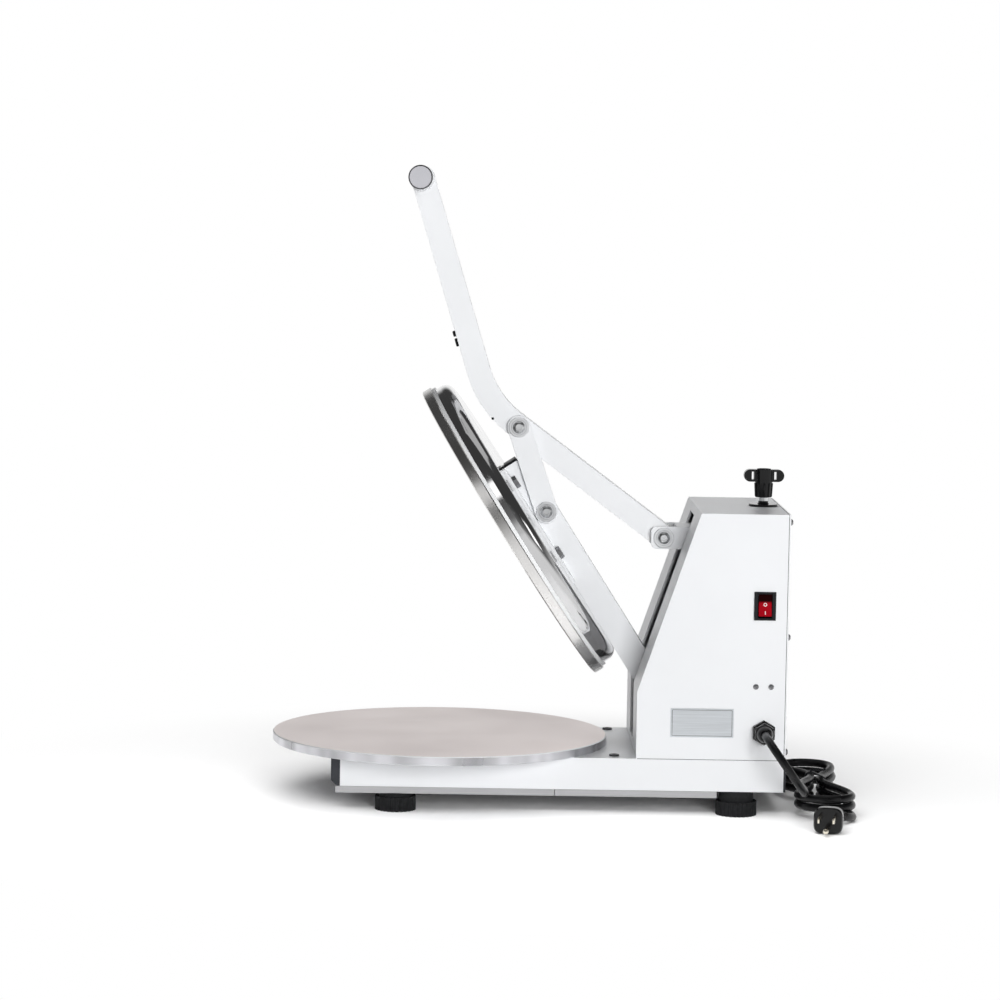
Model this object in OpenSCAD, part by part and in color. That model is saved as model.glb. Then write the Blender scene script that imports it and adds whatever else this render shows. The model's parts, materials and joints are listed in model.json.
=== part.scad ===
// Manual pizza dough press: a fixed lower plate on a flat base, and a heated upper platen on an arm that a
// bent hand lever closes through a pair of toggle links.
// Lengths are in millimetres. X runs from the front of the press to its rear, Y across it and Z up.
// Places along X are measured from the press axis, the upright line through the lower plate's centre.
// The press is drawn open, with the lever up.

/* [Lower plate] */
// Diameter of the lower plate
plate_d = 300; // [270:1:330]
// Thickness of the lower plate
plate_t = 8; // [7:0.5:14]
// Bevel along the edges of both plates
plate_bevel = 0.8; // [0.4:0.1:1.5]
// Distance of the plate screws from the press axis, along and across
plate_screw_at = 60; // [40:1:75]

/* [Base] */
// Length of the base shell
base_l = 388; // [375:1:410]
// Width of the base shell and of the column
base_w = 184; // [170:1:200]
// Height of the base shell
base_h = 28; // [24:1:40]
// Distance from the press axis forward to the shell's front end
base_front = 86; // [80:1:95]
// Sheet thickness of the base shell
base_t = 2; // [1.5:0.5:3]
// Width of the shell's inward flanges along the underside
base_flange = 26; // [24:1:34]
// Distance of the two screws on the base top from the press axis
base_screw_x = 154; // [150:1:160]
// Distance of the screws on the base top from its side edges
base_screw_inset = 14; // [10:1:20]

/* [Bottom tray and end caps] */
// Height of the bottom tray
tray_h = 6; // [4:0.5:10]
// Sheet thickness of the bottom tray
tray_t = 1.2; // [0.8:0.1:2]
// Distance of the seam between the two trays from the press axis
tray_seam_x = 102; // [80:1:130]
// Distance of the tray's rear end from the press axis
tray_rear_x = 244; // [230:1:244]
// How far the tray runs forward of the shell
tray_lead = 4; // [2:0.5:6]
// Thickness of the front end cap
front_cap_t = 8; // [6:0.5:12]
// Thickness of the rear end cap
rear_cap_t = 2; // [1.5:0.5:3]
// How far the end caps stop below the base top
cap_drop = 3.5; // [2:0.5:6]
// Bevel along the front cap's lower edge
cap_bevel = 5; // [3:0.5:6]
// Length of the tongues that the end caps push into the shell
cap_tongue = 12; // [8:1:20]

/* [Feet] */
// Height of a foot from the table to the tray
foot_h = 16; // [14:0.5:22]
// Diameter of a foot's fluted part
foot_d = 36; // [32:1:42]
// Height of a foot's fluted part
foot_grip_h = 12.5; // [10:0.5:13]
// Diameter of the collar on top of a foot
foot_collar_d = 30; // [26:1:32]
// Distance of the front feet from the press axis
foot_front = 37.5; // [30:0.5:60]
// Distance of the rear feet from the press axis
foot_rear = 262; // [260:0.5:270]
// Distance of the feet's centres from the base's sides
foot_inset = 14; // [13:0.5:18]
// Number of flutes round a foot
foot_flutes = 28; // [20:2:36]

/* [Column] */
// Distance of the column's front face from the press axis
column_front = 172.5; // [170:0.5:176]
// Height of the column above the base
column_h = 216; // [210:1:230]
// Height of the column's upright lower front
column_knee = 59; // [50:1:66]
// Length of the column's flat top
column_top = 76.5; // [70:0.5:82]
// Sheet thickness of the column
column_t = 2; // [1.5:0.5:3]
// Width of the slot in the column's front
slot_w = 52; // [51:0.5:54]
// Distance of the slot's ends from the base and from the column's top
slot_margin = 7; // [5:0.5:10]
// Width of the flange round the column's open rear
rear_flange = 16; // [14:1:20]
// Thickness of the rear cover
rear_cover_t = 1.5; // [1:0.5:3]
// Distance of the rear cover's screws from its edges
cover_screw_inset = 7; // [6:0.5:9]

/* [Pivot frame] */
// Gap between the two pivot cheeks
cheek_gap = 54; // [54:0.5:58]
// Thickness of a pivot cheek
cheek_t = 3; // [2.5:0.5:4]
// Distance of the cheeks' front edge behind the column's front
cheek_inset = 8; // [6:0.5:9]
// Width of the cheeks' feet
cheek_foot_w = 20; // [16:1:26]
// Thickness of the stiffener plate inside the base
stiffener_t = 4; // [3:0.5:6]
// Diameter of the arm shaft
shaft_d = 12; // [10:0.5:13]
// Distance of the arm shaft from the press axis
shaft_x = 193; // [190:0.5:196]
// Height of the arm shaft above the base
shaft_z = 45; // [42:0.5:48]

/* [Upper platen] */
// Diameter of the upper platen
platen_d = 295; // [270:1:310]
// Thickness of the upper platen
platen_t = 9; // [8:0.5:12]
// Gap left between the plates when the press is closed
press_gap = 2; // [1:0.5:4]
// Angle by which the platen stands open
open_angle = 57.25; // [50:0.25:58]
// Diameter of the platen cover
cover_d = 287; // [270:1:290]
// Height of the platen cover's back above the platen's face
cover_back = 26; // [24:0.5:28]
// Radius round the platen cover's back edge
cover_r = 9; // [5:0.5:12]
// Sheet thickness of the platen cover
cover_t = 1.2; // [0.8:0.1:2]
// Height of the cover's bright lip
lip_h = 3; // [2:0.5:4]
// Diameter of the cover's bright lip
lip_d = 291; // [288:1:294]
// Radius of the heating element's ring
element_r = 96; // [80:1:110]
// Diameter of the heating element's tube
element_d = 8; // [6:0.5:9]

/* [Platen arm] */
// Width of the arm across its walls
arm_w = 34; // [30:0.5:34]
// Height of the arm
arm_h = 23.2; // [22.5:0.1:26]
// Sheet thickness of the arm
arm_t = 3; // [2.5:0.5:4]
// How far the arm runs past the platen's centre
arm_lead = 52.5; // [48:0.5:60]
// Length of the arm's flanges behind the platen's centre
flange_trail = 65; // [50:1:80]
// Width of the arm's flanges
flange_w = 15; // [13:0.5:18]
// Thickness of the arm's flanges
flange_t = 2; // [1.5:0.5:2.5]
// Half the distance between the platen bolts along the arm
platen_bolt_at = 37; // [32:0.5:42]

/* [Lever and links] */
// Distance of the lever's pivot from the press axis
pivot_x = 196.8; // [195:0.1:200]
// Height of the lever's pivot above the base
pivot_z = 188; // [186:0.5:190]
// Distance of the knuckle, where lever and links meet, from the press axis
knuckle_x = 66.2; // [64:0.1:68]
// Height of the knuckle above the base
knuckle_z = 284.4; // [282:0.1:287]
// Height of the links' lower pin above the platen's face
link_pin_z = 39; // [38.5:0.1:40]
// Width of the lever
lever_h = 21; // [18:0.5:22]
// Depth of the lever from side to side
lever_w = 34; // [30:0.5:34]
// Wall of the lever's tube
lever_t = 2; // [1.5:0.5:3]
// Angle of the lever's bend
bend_angle = 36.5; // [30:0.5:42]
// Radius of the lever's bend along its middle
bend_r = 90; // [60:1:96]
// Distance of the bend's corner beyond the knuckle
bend_at = 34.5; // [33:0.5:40]
// Distance of the handle bar beyond the bend's corner
handle_at = 207.5; // [180:0.5:240]
// Length of the handle bar
handle_l = 200; // [150:1:240]
// Diameter of the handle bar
handle_d = 20; // [18:0.5:22]
// Thickness of a link plate
link_t = 4; // [3:0.5:4.5]
// Width of a link plate
link_w = 20.5; // [18:0.5:21]
// Diameter of the pins through lever and links
pin_d = 10; // [8:0.5:10]
// Diameter of the pins' button heads
pin_head_d = 11; // [10.5:0.5:14]
// Diameter of the washers under the pins' heads
pin_washer_d = 18; // [16:0.5:19]

/* [Thickness adjuster] */
// Distance of the adjuster's knob from the press axis
knob_x = 286.7; // [284:0.1:289]
// Span of the knob's wings
knob_w = 36; // [30:0.5:44]
// Height of the knob's wings
wing_h = 11; // [9:0.5:14]
// Diameter of the knob's hub
hub_d = 17; // [15:0.5:19]
// Height of the knob's hub with its wings
hub_h = 25; // [20:0.5:30]
// Gap between the knob's hub and the column top
knob_lift = 8; // [6:0.5:12]
// Diameter of the adjuster screw
screw_d = 8; // [6:0.5:9]
// Width of the bracket that carries the lever
bracket_w = 48; // [46:0.5:49]
// Height of the bracket
bracket_h = 20; // [18:0.5:22]
// Sheet thickness of the bracket
bracket_t = 3; // [2.5:0.5:4]
// Distance of the bracket's own pin from the press axis
bracket_pin_x = 250; // [246:0.5:256]

/* [Electrical pieces] */
// Distance of the rocker switch from the press axis
switch_x = 282.4; // [276:0.2:284]
// Height of the rocker switch above the base
switch_z = 136; // [110:1:160]
// Width of the switch bezel
bezel_w = 19; // [17:0.5:22]
// Height of the switch bezel
bezel_h = 25; // [24:0.5:30]
// Tilt of the rocker to either side
rocker_tilt = 10; // [6:1:12]
// Distance of the terminal block from the press axis
terminal_x = 282.7; // [270:0.1:283]
// Height of the terminal block above the base
terminal_z = 65; // [55:1:80]
// Distance of the cable gland from the press axis
gland_x = 283.7; // [276:0.1:286]
// Height of the cable gland above the base
gland_z = 25; // [22:1:30]
// Width of the gland across its flats
gland_w = 19; // [17:0.5:22]
// Diameter of the mains cord
cord_d = 7.2; // [6:0.1:8]
// Width of the blank rating plate
label_w = 55; // [40:1:60]
// Height of the blank rating plate
label_h = 25.5; // [18:0.5:30]

/* [Hidden] */

$fn = 64;
// Overrun of every cut past the face that it goes through
over = 1;
// Running clearance of a pin in its bush, on the diameter
run_fit = 0.1;
// Clearance of a screw in its hole, on the diameter
screw_fit = 0.2;
// Sideways gap between pieces that turn against each other
side_gap = 0.3;

// Heights of the main levels above the table
z_tray = foot_h;
z_shell = foot_h + tray_h;
z_top = z_shell + base_h;
z_work = z_top + plate_t;
z_column = z_top + column_h;
z_knee = z_top + column_knee;

// Screws that hold sheet metal: shank, head diameter, head height
small_screw_d = 4;
small_head_d = 7;
small_head_h = 2.3;
small_screw_l = 8;
// Screws and bolts that carry load: shank, head across flats, head height
bolt_d = 6;
bolt_head_w = 10;
bolt_head_h = 4;
// Round heads of the screws on the base top
base_head_d = 9;
base_head_h = 1.6;
// Depth to which screws reach into the plates
plate_thread = 5;
// Counterbore under a foot and the screw head in it
foot_bore_d = 14;
foot_bore_h = 7;
foot_head_d = 12;
foot_nut_h = 5;
// Radius of the flutes round a foot, and how far their centres lie outside it
flute_r = 1.1;
flute_out = 0.3;
// Gap between an end cap's tongue and the shell, and the tongue's wall
tongue_gap = 0.2;
tongue_t = 2;
// How far the trays stand in from the base's sides, and the gap at their seam
tray_inset = 0.5;
tray_seam = 0.4;

// Overall places along X
base_rear = base_l - base_front;
column_top_front = base_rear - column_top;
rear_reach = base_rear + rear_cover_t + small_head_h;
// Shift that puts the middle of the whole length at the origin
axis_x = (plate_d / 2 - rear_reach) / 2;

foot_y = base_w / 2 - foot_inset;
foot_places = [
    for (x = [-foot_front, foot_rear], y = [-foot_y, foot_y]) [x, y]
];
plate_screw_places = [
    for (x = [-plate_screw_at, plate_screw_at], y = [-plate_screw_at, plate_screw_at]) [x, y]
];
base_screw_y = base_w / 2 - base_screw_inset;
base_screw_places = [for (y = [-base_screw_y, base_screw_y]) [base_screw_x, y]];
// The stiffener plate starts one head's width ahead of the base top's screws
stiffener_front = base_screw_x - base_head_d;
stiffener_gap = 4;

// The column's slanted front: length of its slope and its place at a height
slope_x = column_top_front - column_front;
slope_z = column_h - column_knee;
slope_l = norm([slope_x, slope_z]);
function slant_x(z, inset) = column_front + (z - z_knee) * slope_x / slope_z + inset * slope_l / slope_z;
function knee_z(inset) = z_knee + inset * (slope_z - slope_l) / slope_x;

// Pivot cheeks and their feet
cheek_y = cheek_gap / 2;
cheek_front = column_front + cheek_inset;
cheek_rear_gap = 10;
cheek_rear = base_rear - cheek_rear_gap;
cheek_top_gap = 2;
cheek_top = z_column - column_t - cheek_top_gap;
cheek_bolt_inset = 18;
cheek_bolt_places = [
    for (x = [cheek_front + cheek_bolt_inset, cheek_rear - cheek_bolt_inset], s = [-1, 1])
        [x, s * (cheek_y + cheek_t + cheek_foot_w / 2)]
];

// Arm shaft and the closed platen, whose face lies a gap above the lower plate
shaft_h = z_top + shaft_z;
z_closed = z_work + press_gap;
// Heights on the arm, measured from the arm shaft with the press closed
face_z = z_closed - shaft_h;
back_z = face_z + cover_back;
platen_top = face_z + platen_t;
arm_top = back_z + arm_h;
link_z = face_z + link_pin_z;
// Distance from the arm shaft at which the arm's web starts
web_start = 22;
// Corner cut off the free end of the arm's walls: along and down
arm_cut_l = 20;
arm_cut_h = 9;
// Round end of the arm's walls at the shaft
arm_end_r = arm_h / 2;
bush_wall = 2;
arm_bush_d = shaft_d + 2 * bush_wall;
pin_bush_wall = 2.5;
pin_bush_d = pin_d + 2 * pin_bush_wall;
spacer_wall = 3;
clip_t = 1.5;
clip_wall = 3;
shaft_tail = 4;
flange_bolt_y = arm_w / 2 + flange_w / 2;
platen_bolt_places = [
    for (x = [-platen_bolt_at, platen_bolt_at], s = [-1, 1]) [x - shaft_x, s * flange_bolt_y]
];
standoff_d = 14;
element_gap = 0.1;
// Gap in the element's ring, as an angle, and its two terminals: place from the ring's ends, width, height
element_open = 24;
element_post_in = 4;
element_post_d = 5;
element_post_h = 8;
thermostat_d = 20;
thermostat_h = 9;
thermostat_y = 55;

// Lever and links in the open pose, as places along X and Z
pivot = [pivot_x, z_top + pivot_z];
knuckle = [knuckle_x, z_top + knuckle_z];
link_foot = [
    shaft_x - shaft_x * cos(open_angle) + link_z * sin(open_angle),
    shaft_h + shaft_x * sin(open_angle) + link_z * cos(open_angle)
];
lever_l = norm(knuckle - pivot);
link_l = norm(knuckle - link_foot);
lever_dir = atan2(knuckle[1] - pivot[1], knuckle[0] - pivot[0]);
link_dir = atan2(knuckle[1] - link_foot[1], knuckle[0] - link_foot[0]);
bend_tangent = bend_r * tan(bend_angle / 2);
// The handle bar lies off the lever's middle line, and the lever's end runs past it with one corner cut off
handle_off = 0.8;
lever_end_past = 9;
lever_cut_l = 5;
lever_cut_h = 3.5;
handle_wall = 2;
handle_cap_t = 2.5;
handle_cap_lip = 8;
// Link plates stand outside the lever and the arm
link_gap = 1;
link_in = arm_w / 2 + link_gap;
link_out = link_in + link_t;
pin_washer_t = 1.5;
pin_head_h = 3.2;
pin_socket_w = 4.5;
pin_socket_h = 1.8;

// Bracket: its ears reach past the lever's pivot, and its web clears the lever's round end
ear_reach = 11.3;
ear_r = 5;
bracket_z = pivot[1] - bracket_h / 2;
bracket_rear_gap = 5;
bracket_rear = base_rear - bracket_rear_gap;
bracket_web_x = pivot_x + lever_h / 2 + over;
bracket_pin_d = 10;
// Clearance round the adjuster screw in the bracket and its nut, which tilt
screw_play = 0.75;
nut_w = 13;
nut_h = 6.5;
screw_tail = 13;
adjuster_bush_d = 26;
adjuster_bush_h = 2;
adjuster_neck_d = 14;
wing_t = 9;
wing_window_w = 2;
wing_window_h = 7;
wing_window_gap = 0.6;
hub_taper = 1.5;

// Return spring round the arm shaft and the rod that its long leg bears against
spring_wire = 4;
spring_turns = 4;
spring_rings = 16;
spring_gap = 0.35;
spring_pitch = 4.6;
spring_r = arm_bush_d / 2 + spring_gap + spring_wire / 2;
spring_leg = 45;
// Angle by which the short leg leans away from the arm's web, so that it bears on the web's edge
spring_lean = 3.6;
spring_rod_d = 8;
spring_rod_out = 33;
spring_rod_x = shaft_x + spring_rod_out;
spring_rod_h = shaft_h + spring_r + spring_wire / 2 + spring_rod_d / 2 + run_fit;

// Switch: bezel, body behind the panel, and the rocker in its opening
bezel_t = 2;
switch_body_w = 14.6;
switch_body_h = 23;
switch_body_l = 22;
rocker_w = 11.4;
rocker_h = 19;
rocker_gap = 0.5;
rocker_well = 8.5;
rocker_axis_y = 3.5;
rocker_t = 3.5;
rocker_root_d = 6;
switch_h = z_top + switch_z;
side_y = base_w / 2;

terminal_l = 29;
terminal_w = 18;
terminal_h = 15;
terminal_pitch = 13.3;
terminal_screw_d = 3.5;
terminal_head_d = 5;
terminal_head_h = 1.8;
terminal_h0 = z_top + terminal_z;
label_x = 229.7;
label_z = 32.4;
label_t = 0.6;

gland_h = z_top + gland_z;
gland_thread_d = 12;
gland_base_t = 6;
gland_nut_t = 7;
gland_nut_w = 17;
gland_nose_l = 8;
gland_nose_d = 15;
gland_tip_d = 11;
locknut_t = 5;
gland_tip_y = -side_y - gland_base_t - gland_nut_t - gland_nose_l;

// Hank: three long loops in four layers, turned a little about the upright
hank_loops = 3;
hank_rings = 24;
hank_run = 110;
hank_r = 21.8;
hank_swell = 2.5;
hank_step = 7.8;
hank_waist_share = 0.8;
hank_run_share = 0.31;
hank_x = 336;
hank_y = -31;
hank_turn = 3.5;
tie_w = 8;
tie_t = 1.2;
tie_gap = 0.6;
cord_sides = 8;
hank_sides = 6;

// Plug: a tapered body that lies on the table and points forward and inward
plug_l = 32;
plug_w = 25;
plug_h = 23;
plug_nose_d = 11;
plug_r = 7;
plug_turn = 12;
blade_l = 16;
blade_w = 6.3;
blade_t = 1.6;
blade_pitch = 12.7;
earth_d = 4.8;
earth_l = 18;
earth_drop = 6;

function unit(v) = v / norm(v);
function tangent(p, i) = unit(p[min(i + 1, len(p) - 1)] - p[max(i - 1, 0)]);
function ring(p, i, r, n, up) =
    let (t = tangent(p, i), s = unit(cross(t, up)), u = cross(s, t))
    [for (k = [0 : n - 1]) p[i] + r * (cos(360 * k / n) * s + sin(360 * k / n) * u)];
function path_l(p) = len(p) < 2 ? 0 : path_sum([for (i = [1 : len(p) - 1]) norm(p[i] - p[i - 1])]);
function path_sum(v, i = 0) = i == len(v) ? 0 : v[i] + path_sum(v, i + 1);
// Least gap between points of a tube that lie further apart along it than a few steps
function least_gap(p, d, skip) =
    min([for (i = [0 : len(p) - 1 - skip], j = [i + skip : len(p) - 1]) norm(p[i] - p[j])]) - d;

// One point of the hank, at a phase counted in loops
hank_z0 = cord_d / 2;
hank_end = hank_loops - 1 + 0.5 + hank_run_share;
function hank_radius(t) = hank_r + hank_swell * (1 - abs(2 * t / hank_end - 1));
function waist(y) = 1 - hank_waist_share * pow(cos(180 * y / hank_run), 2);
function hank_level(t) =
    let (k = floor(t), u = t - k)
    hank_loops - k - min(max((u - 0.5) / hank_run_share, 0), 1);
function hank_flat(t) =
    let (u = t - floor(t), r = hank_radius(t), a = hank_run_share, h = hank_run / 2)
    u < a ? let (y = -h + hank_run * u / a) [-r * waist(y), y]
    : u < 0.5 ? let (q = 180 * (u - a) / (0.5 - a)) [-r * cos(q), h + r * sin(q)]
    : u <= 0.5 + a ? let (y = h - hank_run * (u - 0.5) / a) [r * waist(y), y]
    : let (q = 180 * (u - 0.5 - a) / (0.5 - a)) [r * cos(q), -h - r * sin(q)];
function hank_point(v, z) = [
    hank_x + v[0] * cos(hank_turn) - v[1] * sin(hank_turn),
    hank_y + v[0] * sin(hank_turn) + v[1] * cos(hank_turn),
    z
];
hank_steps = ceil(hank_end * hank_rings);
hank_straight = [0, -cord_d];
hank_points = [
    hank_point(hank_flat(0) + hank_straight, hank_z0 + hank_step * hank_level(0)),
    for (i = [0 : hank_steps])
        let (t = hank_end * i / hank_steps)
        hank_point(hank_flat(t), hank_z0 + hank_step * hank_level(t)),
    hank_point(hank_flat(hank_end) + hank_straight, hank_z0 + hank_step * hank_level(hank_end))
];

// Route of the mains cord from the gland to the hank, by hand
lead_route = [
    [283.7, -113, 75], [283.7, -120, 75], [285, -131.3, 73.2], [288.7, -140.9, 68], [294.3, -147.3, 60.2],
    [300.9, -149.5, 51], [307.4, -147.3, 41.8], [313, -140.9, 34], [316.7, -131.3, 28.8], [318, -120, 27],
    [318.3, -109, 27]
];
// Sense of the lead's rings, square to the plane that it curls in
lead_up = [0.82, 0, 0.57];
// Route from the hank to the plug: an arc to one side, then one back, rising to the plug's height
tail_r = 30;
tail_sweep = 52;
tail_steps = 8;
hank_first = hank_points[0];
hank_last = hank_points[len(hank_points) - 1];
hank_out = 2 * hank_last - hank_points[len(hank_points) - 2];
function arc_step(from, to, r) = r * [cos(to) - cos(from), sin(from) - sin(to), 0];
function tail_rise(k) = [0, 0, (plug_h / 2 - hank_out[2]) * k * k * (3 - 2 * k)];
tail_mid = hank_out + arc_step(-hank_turn, tail_sweep, tail_r);
tail_route = [
    for (i = [1 : tail_steps])
        let (k = i / tail_steps)
        hank_out + arc_step(-hank_turn, tail_sweep * k - hank_turn * (1 - k), tail_r) + tail_rise(k / 2),
    for (i = [1 : tail_steps])
        let (k = i / tail_steps)
        tail_mid - arc_step(tail_sweep, tail_sweep * (1 - k) + plug_turn * k, tail_r) + tail_rise((1 + k) / 2)
];
lead_points = concat(lead_route, [2 * hank_first - hank_points[1], hank_first]);
tail_points = concat([hank_last, hank_out], tail_route);
echo(hank_gap = least_gap(hank_points, cord_d, 6));
echo(cord_length = path_l(lead_points) + path_l(hank_points) + path_l(tail_points));
echo(hank_ends = [hank_points[0], hank_points[len(hank_points) - 1]]);
echo(spring_gap = spring_pitch - spring_wire);

white = "whitesmoke";
steel = "silver";
bright = "lightgray";
black = [0.1, 0.1, 0.11];

// Puts what is drawn about the press axis in its place
module on_axis() {
    translate([axis_x, 0, 0]) children();
}

// Puts what is drawn about the arm shaft, with the press closed, in the open pose
module on_arm() {
    on_axis() translate([shaft_x, 0, shaft_h]) rotate([0, open_angle, 0]) children();
}

// Puts what is drawn along X from a point in its place, turned up to a direction
module along(from, dir) {
    on_axis() translate([from[0], 0, from[1]]) rotate([0, -dir, 0]) children();
}

// Extrudes an outline drawn along X and Z to a width about the middle plane
module across(w) {
    rotate([90, 0, 0]) linear_extrude(w, center = true) children();
}

// Round bar along Y about the middle plane
module bar_y(d, w) {
    rotate([90, 0, 0]) cylinder(d = d, h = w, center = true);
}

// Tube along Y about the middle plane
module tube_y(d, bore, w) {
    difference() {
        bar_y(d, w);
        bar_y(bore, w + 2 * over);
    }
}

// Ring along Y on both sides, from one distance to another
module side_rings(d, bore, from, to) {
    for (s = [-1, 1])
        translate([0, s * (from + to) / 2, 0]) tube_y(d, bore, to - from);
}

// Upright holes or shanks at places, between two heights
module posts(places, d, z0, z1) {
    for (p = places)
        translate([p[0], p[1], z0]) cylinder(d = d, h = z1 - z0);
}

// Hexagon of a width across flats, along Z
module hex(w, h) {
    cylinder(d = w / cos(30), h = h, $fn = 6);
}

// Button head with a hexagon socket on a washer, pointing along Z
module pin_head() {
    cylinder(d = pin_washer_d, h = pin_washer_t);
    difference() {
        translate([0, 0, pin_washer_t])
            cylinder(d1 = pin_head_d, d2 = pin_head_d - pin_head_h, h = pin_head_h);
        translate([0, 0, pin_washer_t + pin_head_h - pin_socket_h])
            hex(pin_socket_w, pin_socket_h + over);
    }
}

// Tube swept along points, with rings of a number of sides
module sweep(p, d, n, up) {
    rings = len(p);
    points = [for (i = [0 : rings - 1]) each ring(p, i, d / 2, n, up)];
    sides = [
        for (i = [0 : rings - 2], k = [0 : n - 1])
            let (a = i * n + k, b = i * n + (k + 1) % n)
            each [[a, b, b + n], [a, b + n, a + n]]
    ];
    first = [for (k = [1 : n - 2]) [0, k + 1, k]];
    last = [for (k = [1 : n - 2]) [0, k, k + 1] + [1, 1, 1] * (rings - 1) * n];
    polyhedron(points, concat(sides, first, last));
}

module base_shell() {
    color(white) on_axis() difference() {
        translate([-base_front, -base_w / 2, z_shell]) cube([base_l, base_w, base_h]);
        translate([-base_front - over, -base_w / 2 + base_t, z_shell + base_t])
            cube([base_l + 2 * over, base_w - 2 * base_t, base_h - 2 * base_t]);
        translate([-base_front - over, -base_w / 2 + base_flange, z_shell - over])
            cube([base_l + 2 * over, base_w - 2 * base_flange, base_t + 2 * over]);
        posts(foot_places, bolt_d + screw_fit, z_shell - over, z_shell + base_t + over);
        posts(plate_screw_places, bolt_d + screw_fit, z_top - base_t - over, z_top + over);
        posts(base_screw_places, bolt_d + screw_fit, z_top - base_t - over, z_top + over);
        posts(cheek_bolt_places, bolt_d + screw_fit, z_top - base_t - over, z_top + over);
    }
}

// Frame that pushes into an open end of the base shell, from X of zero inward
module cap_tongue_frame() {
    w = base_w - 2 * base_t - 2 * tongue_gap;
    h = base_h - 2 * base_t - 2 * tongue_gap;
    translate([0, -w / 2, z_shell + base_t + tongue_gap]) difference() {
        cube([cap_tongue, w, h]);
        translate([-over, tongue_t, tongue_t])
            cube([cap_tongue + 2 * over, w - 2 * tongue_t, h - 2 * tongue_t]);
    }
}

module front_end_cap() {
    color(black) on_axis() translate([-base_front, 0, 0]) {
        across(base_w) polygon([
            [0, z_shell], [cap_bevel - front_cap_t, z_shell], [-front_cap_t, z_shell + cap_bevel],
            [-front_cap_t, z_top - cap_drop], [0, z_top - cap_drop]
        ]);
        cap_tongue_frame();
    }
}

module rear_end_cap() {
    color(black) on_axis() translate([base_rear, 0, 0]) {
        translate([0, -base_w / 2, z_shell]) cube([rear_cap_t, base_w, base_h - cap_drop]);
        mirror([1, 0, 0]) cap_tongue_frame();
    }
}

// Shallow pan under the base between two places along X, open on top
module tray(x0, x1) {
    w = base_w - 2 * tray_inset;
    difference() {
        translate([x0, -w / 2, z_tray]) cube([x1 - x0, w, tray_h]);
        translate([x0 - over, -w / 2 + tray_t, z_tray + tray_t])
            cube([x1 - x0 + 2 * over, w - 2 * tray_t, tray_h]);
        posts(foot_places, bolt_d + screw_fit, z_tray - over, z_tray + tray_t + over);
    }
}

module bottom_tray_front() {
    color(steel) on_axis() tray(-base_front - tray_lead, tray_seam_x - tray_seam);
}

module bottom_tray_rear() {
    color(steel) on_axis() tray(tray_seam_x, tray_rear_x);
}

// Fluted rubber foot with a collar up to a height
module foot(top) {
    difference() {
        union() {
            cylinder(d = foot_d, h = foot_grip_h);
            cylinder(d = foot_collar_d, h = top);
        }
        for (i = [0 : foot_flutes - 1])
            rotate([0, 0, 360 * i / foot_flutes])
                translate([foot_d / 2 + flute_out, 0, -over])
                    cylinder(r = flute_r, h = foot_grip_h + 2 * over, $fn = 16);
        translate([0, 0, -over]) cylinder(d = foot_bore_d, h = foot_bore_h + over);
        translate([0, 0, -over]) cylinder(d = bolt_d + screw_fit, h = top + 2 * over);
    }
}

module feet() {
    color(black) on_axis() for (p = foot_places)
        translate([p[0], p[1], 0]) foot(p[0] < tray_seam_x ? z_tray : z_shell);
}

module foot_screws() {
    top = z_shell + base_t + foot_nut_h;
    color(steel) on_axis() {
        posts(foot_places, foot_head_d, foot_bore_h - bolt_head_h, foot_bore_h);
        posts(foot_places, bolt_d, foot_bore_h - bolt_head_h, top);
    }
}

module foot_nuts() {
    color(steel) on_axis() for (p = foot_places)
        translate([p[0], p[1], z_shell + base_t]) difference() {
            hex(bolt_head_w, foot_nut_h);
            translate([0, 0, -over]) cylinder(d = bolt_d + screw_fit, h = foot_nut_h + 2 * over);
        }
}

// Round plate with bevelled edges, standing on Z of zero
module bevelled_disc(d, t) {
    rotate_extrude($fn = 180) polygon([
        [0, 0], [d / 2 - plate_bevel, 0], [d / 2, plate_bevel], [d / 2, t - plate_bevel],
        [d / 2 - plate_bevel, t], [0, t]
    ]);
}

module lower_plate() {
    color(bright) on_axis() difference() {
        translate([0, 0, z_top]) bevelled_disc(plate_d, plate_t);
        posts(plate_screw_places, bolt_d + screw_fit, z_top - over, z_top + plate_thread + screw_fit);
    }
}

module lower_plate_screws() {
    seat = z_top - base_t;
    color(steel) on_axis() {
        posts(plate_screw_places, bolt_head_w, seat - bolt_head_h, seat);
        posts(plate_screw_places, bolt_d, seat - bolt_head_h, z_top + plate_thread);
    }
}

module stiffener_plate() {
    w = base_w - 2 * base_t - 2 * stiffener_gap;
    z0 = z_top - base_t - stiffener_t;
    color(steel) on_axis() difference() {
        translate([stiffener_front, -w / 2, z0])
            cube([base_rear - cap_tongue - stiffener_gap - stiffener_front, w, stiffener_t]);
        posts(base_screw_places, bolt_d + screw_fit, z0 - over, z0 + stiffener_t + over);
        posts(cheek_bolt_places, bolt_d + screw_fit, z0 - over, z0 + stiffener_t + over);
    }
}

module base_top_screws() {
    color(black) on_axis() {
        posts(base_screw_places, base_head_d, z_top, z_top + base_head_h);
        posts(base_screw_places, bolt_d, z_top - base_t - stiffener_t, z_top + base_head_h);
    }
}

// Holes of the rear cover's screws, or their shanks and heads
module cover_screws(d, x0, x1) {
    y = base_w / 2 - cover_screw_inset;
    z0 = z_top + cover_screw_inset;
    z1 = z_column - cover_screw_inset;
    for (s = [-1, 1], z = [z0, (z0 + z1) / 2, z1])
        translate([x0, s * y, z]) rotate([0, 90, 0]) cylinder(d = d, h = x1 - x0);
}

module column_outline(inset, foot) {
    polygon([
        [column_front + inset, foot], [column_front + inset, knee_z(inset)],
        [slant_x(z_column - inset, inset), z_column - inset], [base_rear - inset, z_column - inset],
        [base_rear - inset, foot]
    ]);
}

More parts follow.
